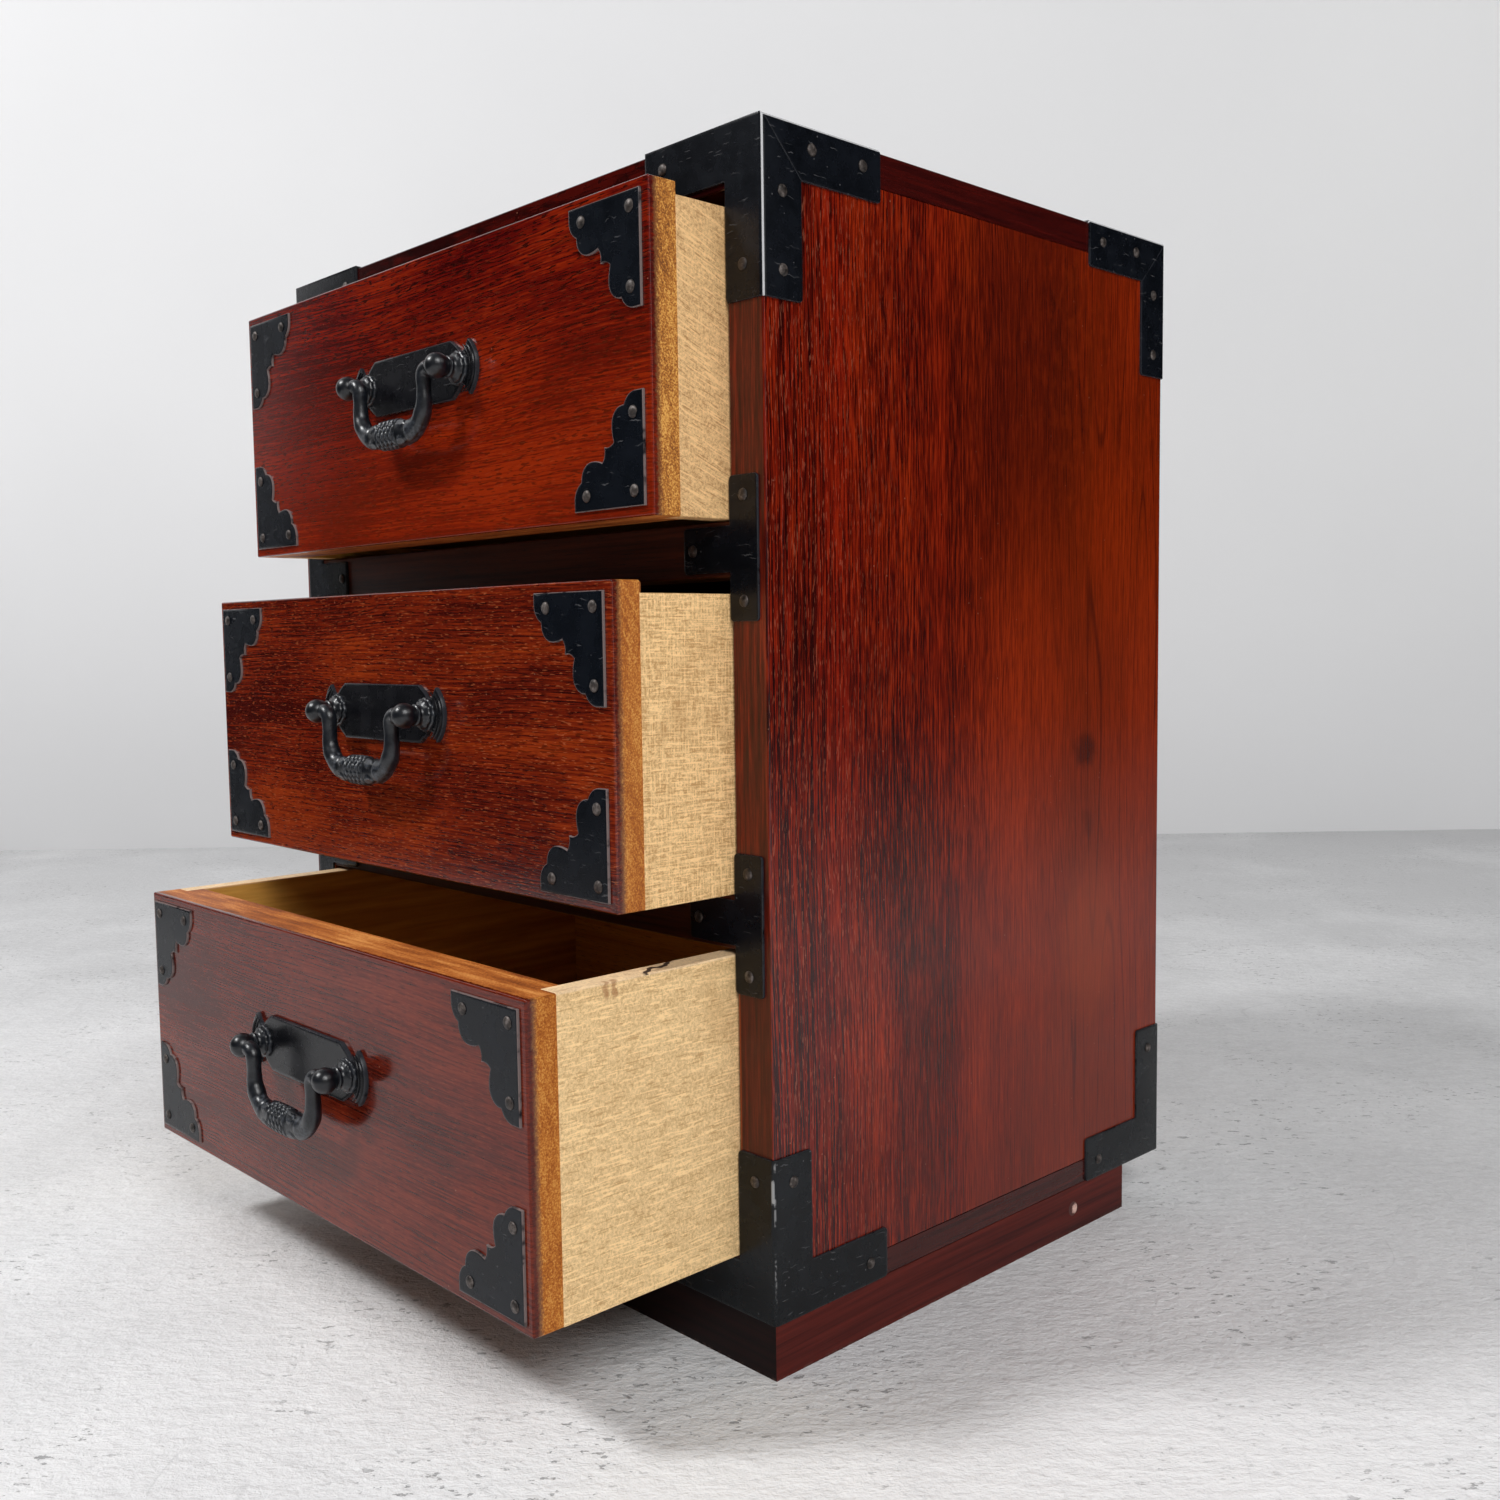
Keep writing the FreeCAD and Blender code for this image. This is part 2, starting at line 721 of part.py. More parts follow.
def bail_sections():
    """Ovals from the right-hand end of the bail to the middle of its grip.

    Each is (x, z, turn, half height, half depth), with the pivot line at z = 0.
    """
    leg_x = bail_width / 2
    rod_end = post_side - ball_radius - bail_air
    sections = [(rod_end, 0, 90, bail_rod, bail_rod)]
    for angle in (0, 45, 90):
        swing = math.radians(angle)
        sections.append((leg_x + bail_bend * (1 - math.sin(swing)), -bail_bend * (1 - math.cos(swing)),
                         90 + angle, bail_rod, bail_rod))
    radius = bail_drop - bail_leg
    growth = (grip_half_height - bail_rod, grip_half_depth - bail_rod)
    for angle in (0, 30, 60, 90):
        swing = math.radians(angle)
        share = corner_growth * (angle / 90) ** 2
        sections.append((leg_x - radius * (1 - math.cos(swing)), -bail_leg - radius * math.sin(swing),
                         180 - angle, bail_rod + growth[0] * share, bail_rod + growth[1] * share))
    sections.append((grip_shoulder, -bail_drop, 90,
                     bail_rod + growth[0] * shoulder_growth, bail_rod + growth[1] * shoulder_growth))
    sections.append((0, -bail_drop, 90, grip_half_height, grip_half_depth))
    return sections


def bail(pivot):
    """The hanging handle: two pivots turned outward into the balls, legs and a thick grip."""
    half = bail_sections()
    other_half = [(-x, z, 180 - turn, high, deep) for x, z, turn, high, deep in half[-2::-1]]
    rings = [bail_section(*section) for section in half]
    rings += [bail_section(x, z, turn, high, deep) for x, z, turn, high, deep in other_half]
    body = Part.makeLoft(rings, True, False)
    rod_end = post_side - ball_radius - bail_air
    length = bail_air + pivot_length
    right_pivot = rod(V(rod_end, 0, 0), X_AXIS, pivot_radius, length)
    left_pivot = rod(V(-rod_end, 0, 0), X_AXIS * -1, pivot_radius, length)
    whole = joined([body, right_pivot, left_pivot])
    whole.translate(pivot)
    return whole


def build_drawer(name):
    prefix = "drawer_" + name + "_"
    face_y = case_front - drawer_pull[name]
    rear_y = face_y + drawer_length
    low = drawer_floors[name] + running_gap
    high = low + drawer_height
    box_top = high - side_drop[name]
    panel_low = low + floor_lift
    panel_half = box_inner_half + floor_groove
    panel = block(-panel_half, face_y + front_board - floor_groove, panel_low,
                  panel_half, rear_y - box_board + floor_groove, panel_low + floor_panel)
    side = block(box_inner_half, face_y + front_end, low, drawer_half, rear_y, box_top)
    back = block(-box_inner_half, rear_y - box_board, low, box_inner_half, rear_y, box_top)
    end_rabbet = block(box_inner_half, face_y + front_end, low, drawer_half, face_y + front_board, high)
    front = eased(block(-drawer_half, face_y, low, drawer_half, face_y + front_board, high), eased_edge)

    handle_centre = V(0, face_y, (low + high) / 2 + handle_raise)
    right_post = handle_centre + X_AXIS * post_side
    left_post = handle_centre - X_AXIS * post_side
    plates, spots = scallop_plates(face_y, low, high)
    holes = [nail_hole(point, out) for point, out in spots]
    front = front.cut([end_rabbet, to_left(end_rabbet), panel, post_hole(right_post), post_hole(left_post)])
    side = eased(side, box_eased_edge).cut(panel)

    nodes[prefix + "front"] = drilled(front, holes)
    nodes[prefix + "side_right"] = side
    nodes[prefix + "side_left"] = to_left(side)
    nodes[prefix + "back"] = eased(back, box_eased_edge).cut(panel)
    nodes[prefix + "bottom"] = panel
    nodes[prefix + "corner_plates"] = Part.makeCompound([drilled(plate, holes) for plate in plates])
    nodes[prefix + "nails"] = Part.makeCompound([domed_nail(point, out) for point, out in spots])
    nodes[prefix + "handle_plate"] = handle_plate(handle_centre)
    nodes[prefix + "handle_posts"] = Part.makeCompound([
        handle_post(right_post, X_AXIS * -1),
        handle_post(left_post, X_AXIS),
    ])
    nodes[prefix + "handle_nuts"] = Part.makeCompound([handle_nut(right_post), handle_nut(left_post)])
    nodes[prefix + "bail"] = bail(handle_centre + FRONT * post_reach)


for drawer_name in drawer_pull:
    build_drawer(drawer_name)


# ---- Export -----------------------------------------------------------------------------------

os.makedirs("parts", exist_ok=True)
for node_name, shape in nodes.items():
    shape.exportStep("parts/" + node_name + ".step")
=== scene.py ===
from functools import partialmethod
from math import acos, atan2, cos, exp, hypot, pi, radians, sin, tan

import bmesh
import bpy
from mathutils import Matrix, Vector


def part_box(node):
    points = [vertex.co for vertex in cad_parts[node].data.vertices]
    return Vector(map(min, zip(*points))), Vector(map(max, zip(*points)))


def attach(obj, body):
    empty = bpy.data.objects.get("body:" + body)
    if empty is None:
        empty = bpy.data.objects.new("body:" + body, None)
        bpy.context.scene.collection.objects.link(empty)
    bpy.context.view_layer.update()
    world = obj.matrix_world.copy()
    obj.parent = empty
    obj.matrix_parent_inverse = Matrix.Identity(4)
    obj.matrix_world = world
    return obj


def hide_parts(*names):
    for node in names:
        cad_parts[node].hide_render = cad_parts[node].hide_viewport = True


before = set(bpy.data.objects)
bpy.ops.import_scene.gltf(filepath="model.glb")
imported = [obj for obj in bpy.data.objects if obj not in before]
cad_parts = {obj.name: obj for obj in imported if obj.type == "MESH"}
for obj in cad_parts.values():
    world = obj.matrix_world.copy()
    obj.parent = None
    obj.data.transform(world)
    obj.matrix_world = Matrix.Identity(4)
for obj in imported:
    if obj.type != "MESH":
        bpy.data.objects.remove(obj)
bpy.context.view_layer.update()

MM = 0.001
WHOLE = 2 * pi
QUARTER = pi / 2


def paint(red, green, blue, gain=1):
    """A colour given as 0 to 255, in the linear values that the shaders take, times a gain."""
    def linear(part):
        part /= 255
        return min(1, gain * (part / 12.92 if part <= 0.04045 else ((part + 0.055) / 1.055) ** 2.4))
    return (linear(red), linear(green), linear(blue))


# ---- Nodes and shader maths ----

def add_node(tree, kind, sockets, **settings):
    """Adds a node, with its settings first and then the values or links of its sockets."""
    node = tree.nodes.new(kind)
    for name, setting in settings.items():
        setattr(node, name, setting)
    for name, value in sockets.items():
        target = node.inputs[name]
        if isinstance(value, bpy.types.NodeSocket):
            tree.links.new(value, target)
        else:
            target.default_value = (*value, 1) if target.type == "RGBA" else value
    return node.outputs


class Value:
    """One output in a finish. Arithmetic on it adds Math nodes."""

    def __init__(self, finish, socket):
        self.finish = finish
        self.socket = socket

    def maths(self, operation, *others):
        return self.finish.node("Math", dict(enumerate((self, *others))), operation=operation)

    __add__ = __radd__ = partialmethod(maths, "ADD")
    __sub__ = partialmethod(maths, "SUBTRACT")
    __mul__ = __rmul__ = partialmethod(maths, "MULTIPLY")
    __truediv__ = partialmethod(maths, "DIVIDE")
    __pow__ = partialmethod(maths, "POWER")
    __abs__ = partialmethod(maths, "ABSOLUTE")
    sine = partialmethod(maths, "SINE")
    most = partialmethod(maths, "MAXIMUM")

    def __rsub__(self, other):
        return self.finish.node("Math", {0: other, 1: self}, operation="SUBTRACT")

    def rise(self, start, end):
        """0 at start, 1 at end, and a smooth step between. start may be the higher one."""
        return self.finish.node("MapRange", {"Value": self, "From Min": start, "From Max": end},
                                interpolation_type="SMOOTHSTEP")


class Finish:
    """A material made of nodes, with places in millimetres in the object's own frame.
    Its colour is what its layers add up to so far."""

    def __init__(self, name):
        self.material = bpy.data.materials.new(name)
        self.material.use_nodes = True
        self.tree = self.material.node_tree
        self.tree.nodes.clear()
        place = self.node("TexCoord", {}, "Object")
        self.place = self.node("VectorMath", {0: place, "Scale": 1 / MM}, operation="SCALE")
        self.x, self.y, self.z = (self.node("SeparateXYZ", {0: self.place}, axis) for axis in "XYZ")
        self.colour = None

    def node(self, kind, sockets, output=0, **settings):
        """Adds a shader node, and gives one of its outputs."""
        sockets = {name: getattr(value, "socket", value) for name, value in sockets.items()}
        return Value(self, add_node(self.tree, f"ShaderNode{kind}", sockets, **settings)[output])

    def cloud(self, size, detail=2, rough=0.5, place=None):
        """Noise around one half, in spots of about size millimetres. It may take a place of its own."""
        at = self.node("CombineXYZ", dict(enumerate(place))) if place else self.place
        return self.node("TexNoise", {"Vector": at, "Scale": 1 / size, "Detail": detail, "Roughness": rough})

    def ramp(self, value, *stops):
        """Colours at levels of a value. A stop is a level, followed by what paint takes."""
        made = self.node("ValToRGB", {0: value})
        elements = made.socket.node.color_ramp.elements
        while len(elements) < len(stops):
            elements.new(1)
        for element, (level, *tone) in zip(elements, stops):
            element.position = level
            element.color = (*paint(*tone), 1)
        return made

    def mix(self, share, under, *tone):
        """Lays a share of a colour over another. tone is one Value, or what paint takes."""
        over = tone[0] if len(tone) == 1 else paint(*tone)
        return self.node("Mix", {0: share, 6: under, 7: over}, 2, data_type="RGBA")

    def lay(self, share, *tone):
        self.colour = self.mix(share, self.colour, *tone)

    def specks(self, pitch, size, share):
        """Small specks of up to size millimetres, in a share of the cells of a loose grid."""
        near, draw = (self.node("TexVoronoi", {"Vector": self.place, "Scale": 1 / pitch}, output)
                      for output in ("Distance", "Color"))
        chance = self.node("SeparateColor", {0: draw})
        return near.rise(size / pitch, size / pitch / 2) * chance.rise(1 - share, 1.01 - share)

    def spread(self, name):
        """A number carried by the mesh itself."""
        return self.node("Attribute", {}, "Fac", attribute_name=name)

    def surface(self, rough, height=None, depth=0, shine=0.5, **others):
        """The finished material. Depth is that of its relief in millimetres, for a height of one."""
        sockets = {"Base Color": self.colour, "Roughness": rough, "Specular IOR Level": shine, **others}
        if height:
            sockets["Normal"] = self.node("Bump", {"Height": height, "Distance": depth * MM})
        shader = self.node("BsdfPrincipled", sockets)
        add_node(self.tree, "ShaderNodeOutputMaterial", {"Surface": shader.socket})
        return self.material


class Wood(Finish):
    """A finish for a board whose grain runs along one axis and spreads across another."""

    def __init__(self, name, along, across, seed, sway=6):
        super().__init__(name)
        axes = {"x": self.x, "y": self.y, "z": self.z}
        self.along = axes.pop(along)
        level = axes.pop(across)
        self.depth = axes.popitem()[1]
        bend = self.cloud(1, 1.5, 0.5, (self.along / 120 + seed, level / 60, self.depth / 90)) - 0.5
        self.across = level + bend * sway
        self.seed = seed

    def streaks(self, width, length, detail=2, rough=0.5, shift=0):
        return self.cloud(1, detail, rough, (
            self.along / length + self.seed + shift, self.across / width, self.depth / (3 * width)))

    def pores(self, width, length, share, shift=7.3):
        """Short dashes along the grain."""
        return self.streaks(width, length, 1, 0.4, shift).rise(share, share + 0.06)


# ---- Finishes of the wood ----

PLUG_Y, PLUG_Z = 145.3, 8.4
LACQUER_DEPTH, LACQUER_IOR = 0.02, 1.46
GOLDEN = ((184, 122, 44), (232, 172, 80))
# Upright bands of the case side: middle, half width, heights of their fading, share and colour.
SIDE_BANDS = (
    (22, 10, 90, 170, 0.4, 142, 28, 9), (69, 6, 150, 230, 0.28, 142, 32, 9),
    (112, 46, 190, 290, 0.6, 56, 11, 6), (58, 15, 190, 140, 0.36, 74, 22, 10),
    (88, 12, 150, 110, 0.35, 132, 40, 16))
# Knots and glows of the case side: y, z, radius, stretch, raggedness, share and colour.
SIDE_SPOTS = (
    (155, 106, 26, 1.5, 1, 0.35, 150, 56, 14), (152.5, 149, 5, 1.5, 0.6, 0.4, 54, 12, 6),
    (150.6, 175.4, 9.5, 0.9, 0.8, 0.65, 44, 11, 6))


def lacquered(name, along, across, seed, dark, middle, light, patch_share=1.2, pore_share=0.55):
    """Thin red-brown lacquer over open grain. Returns the wood, its height and its roughness."""
    wood = Wood(name, along, across, seed)
    patch = wood.cloud(42, 2, 0.5, (wood.along / 2.6 + seed, wood.across, wood.depth))
    broad = wood.streaks(6.5, 240)
    fine = wood.streaks(0.75, 55, 2, 0.6, 3.1)
    fibre = wood.streaks(0.45, 9, 2, 0.6, 5.7)
    tone = (0.5 + (patch - 0.5) * patch_share + (broad - 0.5) * 0.35
            + (fine - 0.5) * 0.9 + (fibre - 0.5) * 0.8)
    wood.colour = wood.ramp(tone, (0.24, *dark), (0.5, *middle), (0.76, *light))
    dashes = wood.pores(0.6, 4.5, 0.58)
    lines = wood.pores(0.6, 30, 0.60, 11.9)
    wood.lay((dashes * pore_share).most(lines * 0.45), 24, 6, 5)
    wood.lay(wood.specks(5, 0.32, 0.18) * 0.5, 170, 120, 96)
    return wood, fibre * 0.5 + fine * 0.3 - dashes * 0.2, 0.10 + patch * 0.05


def distance(first, second):
    return (first * first + second * second) ** 0.5


def case_side_finish():
    wood, height, rough = lacquered(
        "lacquered_case_side", "z", "y", 2, (44, 6, 5), (94, 16, 6), (144, 40, 9), 0.9, 0.22)
    y, z, inner = wood.y, wood.z, abs(wood.x)
    wood.lay(y.rise(50, 150) * (0.36 + z.rise(330, 220) * 0.22), 130, 41, 6)
    for middle, half, low, high, share, *tone in SIDE_BANDS:
        wood.lay(abs(wood.across - middle).rise(half, half * 0.3) * z.rise(low, high) * share, *tone)
    grain = wood.streaks(0.75, 14, 2, 0.7, 51)
    open_grain = (1 - y.rise(40, 125) * 0.68) * (1 - z.rise(150, 60) * 0.35)
    wood.lay(grain.rise(0.5, 0.4) * open_grain * 0.75, 36, 5, 4)
    # Bright grain lines, partly the wood's own grain and partly painted glints, strongest near the front edge.
    wood.lay(grain.rise(0.52, 0.64) * open_grain * 0.5, 156, 46, 16)
    ribbed = y.rise(60, 2)
    ribs = wood.streaks(0.8, 40, 2, 0.6, 31)
    wood.lay(ribbed * ribs.rise(0.53, 0.62) * 0.55, 132, 28, 12)
    wood.lay(ribbed * ribs.rise(0.50, 0.40) * 0.8, 34, 4, 4)
    # Pale flecks near the front edge are painted glints, a painted highlight in the pores.
    flecks = wood.pores(0.4, 3.4, 0.63, 41) * y.rise(80, 0) * y.rise(-7.9, -7.3)
    wood.lay(flecks * 0.22, 206, 120, 90)
    bowed = wood.cloud(1, 0, 0.5, (wood.along / 300, y / 20, 3))
    wood.lay(abs((bowed * 30).sine()).rise(0.26, 0) * y.rise(110, 150) * 0.55, 46, 9, 5)
    mottle = wood.cloud(1, 3, 0.6, (wood.along / 7, wood.across / 4, 5))
    wood.lay(mottle.rise(0.46, 0.68) * (z.rise(205, 270) * y.rise(95, 140)) * 0.18, 140, 44, 10)
    ragged = (mottle - 0.5) * 8
    for at_y, at_z, radius, stretch, frayed, share, *tone in SIDE_SPOTS:
        reach = distance(y - at_y, (z - at_z) / stretch) + ragged * frayed
        wood.lay(reach.rise(radius, radius * 0.3) * share, *tone)
    on_edge = y.rise(-7.2, -7.9)
    face_edge = on_edge * inner.rise(134.6, 134.2)
    upright = wood.cloud(1, 4, 0.75, (wood.x / 1.5, z / 34, 4))
    edge_colour = wood.ramp(upright, (0.34, 40, 5, 2), (0.5, 82, 16, 6), (0.68, 134, 38, 14))
    # Below the top of the lower drawer the front edge is painted darker, as painted shade between that drawer
    # and the case.
    wood.lay(face_edge * 0.94, wood.mix(z.rise(136, 122) * 0.5, edge_colour, 56, 18, 15))
    wood.lay(on_edge * inner.rise(122, 121.6) * z.rise(130, 124) * 0.8, 150, 66, 24)
    inside = inner.rise(121.2, 120.9) * y.rise(-7.6, -6.8)
    wood.lay(inside, 96, 50, 18)
    rough = rough + inside * 0.4 + face_edge * 0.2
    return wood.surface(rough, height, LACQUER_DEPTH, 0.42, IOR=LACQUER_IOR)


def end_board_finish(name, seed, dark, light):
    """The top and bottom boards, whose grain runs across the case."""
    wood, height, rough = lacquered(name, "x", "y", seed, dark, dark, light)
    end = abs(wood.x).rise(134.2, 134.9)
    rings = wood.cloud(1, 3, 0.6, (wood.x, wood.y / 34, wood.z / 1.7))
    wood.lay(end * 0.9, wood.ramp(rings, (0.3, *dark), (0.7, *light)))
    return wood.surface(rough + end * 0.12, height, LACQUER_DEPTH, 0.35, IOR=LACQUER_IOR)


def plinth_finish(name, along, seed, dark, light):
    wood = Wood(name, along, "z", seed)
    grain = wood.streaks(1.6, 60, 3, 0.6) * 0.6 + wood.streaks(7, 160, 2, 0.5, 4) * 0.4
    wood.colour = wood.ramp(grain, (0.34, *dark), (0.66, *light))
    wood.lay(wood.specks(6, 0.45, 0.2) * 0.5, 120, 108, 100)
    worn = wood.z.rise(1.2, 0.2) * wood.cloud(3, 3, 0.7).rise(0.5, 0.6)
    wood.lay(worn * 0.5, 96, 74, 66)
    return wood.surface(0.3 + grain * 0.2, grain, 0.04, 0.12)


def front_finish(name, drawer, seed, tones, pore_share, glow, shine, warmth, flecks):
    """A drawer front: lacquer on its face and round its edges, bare wood behind that.
    Glow lights up its lower half, and warmth deepens the bare wood of its ends."""
    wood, height, rough = lacquered(name, "x", "z", seed, *tones, pore_share=pore_share)
    wood.lay(wood.z.rise(HIGHS[drawer], LOWS[drawer]) * glow, 146, 46, 12)
    wood.lay(wood.pores(0.4, 2.8, 0.64, 41) * flecks, 204, 116, 70)
    behind = wood.y - FACES[drawer]
    at_end = abs(wood.x).rise(119.6, 120.1)
    frayed = wood.cloud(1.1, 3, 0.75) - 0.5
    wood.lay(at_end * behind.rise(0.2, 1) * (0.5 + frayed * 2.4) * 0.85, 66, 32, 30)
    wood.lay((behind + frayed * 2.4).rise(1.3, 2.3) * at_end * 0.7, 124, 82, 52)
    raw = (behind + frayed * 2.8).rise(2, 4) * at_end
    on_edge = (behind + frayed * 2).rise(0.9, 1.9) * (1 - at_end)
    grit = wood.cloud(0.55, 2, 0.7)
    mottle = wood.cloud(3.4, 3, 0.6, (wood.x / 2, wood.y, wood.z / 4))
    slant = wood.cloud(1, 2, 0.5, (wood.x / 9, (wood.y + wood.z * 0.55) / 1.3, (wood.z - wood.y) / 18))
    figured = wood.cloud(1, 1, 0.5, (seed, 0, wood.z / 26)).rise(0.5, 0.62)
    end_tone = 0.5 + (mottle - 0.5) * 0.8 + (slant - 0.5) * (figured * 0.7 + 0.15) + (grit - 0.5) * 1.8
    end_grain = wood.ramp(end_tone, (0.2, 118, 66, 18), (0.5, 178, 110, 36), (0.8, 224, 166, 82))
    bare = wood.streaks(1.3, 40, 3, 0.6, 17)
    edge_tone = 0.5 + (bare - 0.5) * 1.4 + (grit - 0.5) * 0.8
    wood.lay(raw, wood.mix(warmth, end_grain, 172, 84, 12))
    wood.lay(on_edge, wood.ramp(edge_tone, (0.2, 116, 56, 16), (0.5, 176, 98, 36), (0.8, 222, 150, 78)))
    wood.lay(behind.rise(16, 16.4), wood.ramp(bare, (0.3, 120, 70, 24), (0.7, 170, 110, 48)))
    bare_share = raw.most(on_edge)
    height = height * (1 - bare_share) + grit * bare_share * 2.2
    return wood.surface(rough + bare_share * 0.45, height, LACQUER_DEPTH, shine, IOR=LACQUER_IOR)


def box_side_finish(name, seed, light, dark, threads=0, slant=0, cracked=False):
    """Bare pale wood of the drawer boxes: fine grit, short light dashes, and threads that cross.
    It may be cracked: a dark split on its top edge, and a smudge beside it."""
    wood = Wood(name, "y", "z", seed, 3)
    wood.across = wood.across + wood.along * slant
    soft = wood.streaks(4, 60, 3, 0.6)
    grit = wood.cloud(0.75, 2, 0.75)
    dashes = wood.pores(0.7, 7.5, 0.58, 4.4)
    tone = (0.52 + (soft - 0.5) * 0.4 + (grit - 0.5) * 1.5 + dashes * 0.32
            - wood.pores(0.6, 6, 0.62, 14.4) * 0.3)
    if threads:
        upright = wood.cloud(1, 2, 0.6, (wood.along / 0.6, wood.across / 10, 7)).rise(0.46, 0.60)
        level = wood.streaks(0.55, 10, 2, 0.6, 9).rise(0.48, 0.62)
        tone = tone + (upright.most(level) - 0.55) * threads
    wood.colour = wood.ramp(tone, (0.2, *dark), (0.52, *light), (0.85, *light, 1.3))
    wood.lay(wood.cloud(22, 3, 0.6).rise(0.56, 0.75) * 0.3, 176, 134, 84)
    wood.lay(abs(wood.x).rise(113.4, 112.9), wood.ramp(soft, (0.3, *GOLDEN[0]), (0.7, *GOLDEN[1])))
    if cracked:
        x, y, z = wood.x, wood.y, wood.z
        jog = wood.cloud(1, 1, 0.5, (y / 5, z / 1.2, 2)) - 0.5
        split = abs(x - 116.4 + (y + 34.9) * 0.35 + jog * 9).rise(1.2, 0.7) * abs(y + 34.9).rise(8.5, 7)
        wood.lay(z.rise(123.9, 124.4) * 0.25, 240, 216, 196)
        wood.lay(split * (z.rise(123.9, 124.3) * x.rise(100, 110)) * 0.95, 40, 20, 16)
        smudge = abs(abs(y + 55) - 1.5 + jog * 3).rise(1.3, 0.4) * z.rise(118.6, 121.4) * x.rise(118, 119)
        wood.lay(smudge * 0.6, 146, 88, 44)
    return wood.surface(0.62, grit * 0.8 + soft * 0.5 + dashes * 0.5, 0.06, IOR=1.4)


def plain_wood_finish(name, along, across, seed, dark, light, rough=0.6, shine=0.5, shade_below=None):
    """Bare wood. Below a height in millimetres it may be painted dull and dark, as painted shade on its
    underside.
    """
    wood = Wood(name, along, across, seed, 3)
    grain = wood.streaks(1.3, 60, 3, 0.6) * 0.7 + wood.streaks(8, 200, 2, 0.5, 9) * 0.5 - 0.1
    wood.colour = wood.ramp(grain, (0.3, *dark), (0.72, *light))
    marks = wood.pores(0.45, 6, 0.62)
    wood.lay(marks * 0.5, *dark, 0.4)
    if shade_below is not None:
        # Painted shade: darker wood below the given height, on the side that faces the floor.
        painted_shade = wood.ramp(grain, (0.3, 44, 32, 24), (0.72, 74, 56, 42))
        wood.lay(wood.z.rise(shade_below, shade_below - 0.2), painted_shade)
    return wood.surface(rough, grain - marks * 0.5, 0.06, shine)


def plug_finish():
    """Pale filler, partly its own colour and partly a painted highlight, broken at its rim where the stain has
    crept in.
    """
    wood = Finish("plug_wood")
    cloud = wood.cloud(1.1, 3, 0.7)
    wood.colour = wood.ramp(cloud, (0.3, 168, 118, 106), (0.6, 226, 190, 176))
    rim = distance(wood.y - PLUG_Y, wood.z - PLUG_Z) + (cloud - 0.5) * 3.2
    wood.lay(rim.rise(1.4, 2), 70, 26, 20)
    return wood.surface(0.5, cloud, 0.1)


# ---- Finishes of the iron ----

def plate_finish(name, dark, light, edge, edge_share, shine, fold_line_from=0.5, rubbed_and_highlight_share=0.85, scarred_and_highlit=0):
    """Satin blue-black paint on sheet iron, rubbed bright on its edges, with a bright line along its fold that
    is partly rubbed wear and partly a painted highlight.
    """
    iron = Finish(name)
    cloud = iron.cloud(9, 4, 0.6)
    grit = iron.cloud(0.6, 3, 0.6)
    patch = iron.cloud(6, 3, 0.7)
    iron.colour = iron.ramp(cloud * 0.7 + grit * 0.3, (0.35, *dark), (0.65, *light))
    iron.lay(iron.spread("wear").rise(0.7, 1) * patch.rise(0.3, 0.5) * edge_share, *edge)
    # The fold strip is painted bright: partly rubbed wear and partly a painted highlight along the bend.
    worn = iron.spread("fold").rise(0.5, 0.95) * patch.rise(fold_line_from, fold_line_from + 0.1)
    iron.lay(worn * rubbed_and_highlight_share, 206, 206, 208)
    # A short bright streak on the corner of the fold: partly a scar and partly a painted highlight.
    scar_and_highlight = (abs(iron.z - 57) + grit * 3).rise(5.4, 4.2) * iron.x.rise(134.4, 134.8) * iron.y.rise(-8.2, -8.4)
    iron.lay(scar_and_highlight * scarred_and_highlit, 168, 170, 172)
    scratches = iron.cloud(1, 1, 0.5, (iron.x / 7, iron.y / 7, iron.z / 0.5 + cloud * 9)).rise(0.72, 0.76)
    iron.lay(iron.specks(3.4, 0.32, 0.26).most(scratches * 0.7) * 0.5, 112, 112, 114)
    return iron.surface(0.2 + cloud * 0.14, cloud * 0.5 + grit * 0.5, 0.012, shine)


def handle_finish():
    iron = Finish("black_cast_iron")
    cloud = iron.cloud(3.2, 4, 0.6)
    grit = iron.cloud(0.5, 3, 0.65)
    iron.colour = iron.ramp(cloud * 0.6 + grit * 0.4, (0.36, 5, 7, 11), (0.66, 14, 18, 25))
    rubbed = iron.spread("wear") * iron.cloud(1.1, 3, 0.7).rise(0.4, 0.62)
    iron.lay(rubbed * 0.28, 100, 106, 116)
    return iron.surface(0.24 + cloud * 0.16, grit * 0.6 + cloud * 0.4, 0.06, 0.55)


def bare_metal_finish(name, size, rough, depth, metallic, *stops):
    """Metal clouded in spots of a size, as nails and screws are."""
    metal = Finish(name)
    cloud = metal.cloud(size, 3, 0.6)
    metal.colour = metal.ramp(cloud, *stops)
    return metal.surface(rough + cloud * 0.15, cloud, depth, Metallic=metallic)


# ---- Sizes that the pieces share with the solids ----

SHEET = 0.8
HALF_WIDTH = 135
FRONT_Y = -8
MID_Y = 96
TOP_Z = 360
PLINTH_TOP = 16.8
RAIL_MIDDLES = (134, 242.6)
ARM, ARM_WIDTH, ARM_ROUND = 49.5, 15.8, 1.2
FRONT_ARM = 15
MITRE = 0.15
FRONT_HALF = 120.3
PLATE_BEVEL, PLATE_BORDER = 0.22, 1
# A folded sheet is divided across its bend, so that one strip of it can be painted bright, partly as rubbed
# wear and partly as a painted highlight.
FOLD, FOLD_STEP, FOLD_LINE = 1.5, 0.5, 0.25
FOLD_CUTS = [-FOLD + FOLD_STEP * i for i in range(round(2 * FOLD / FOLD_STEP) + 1)]

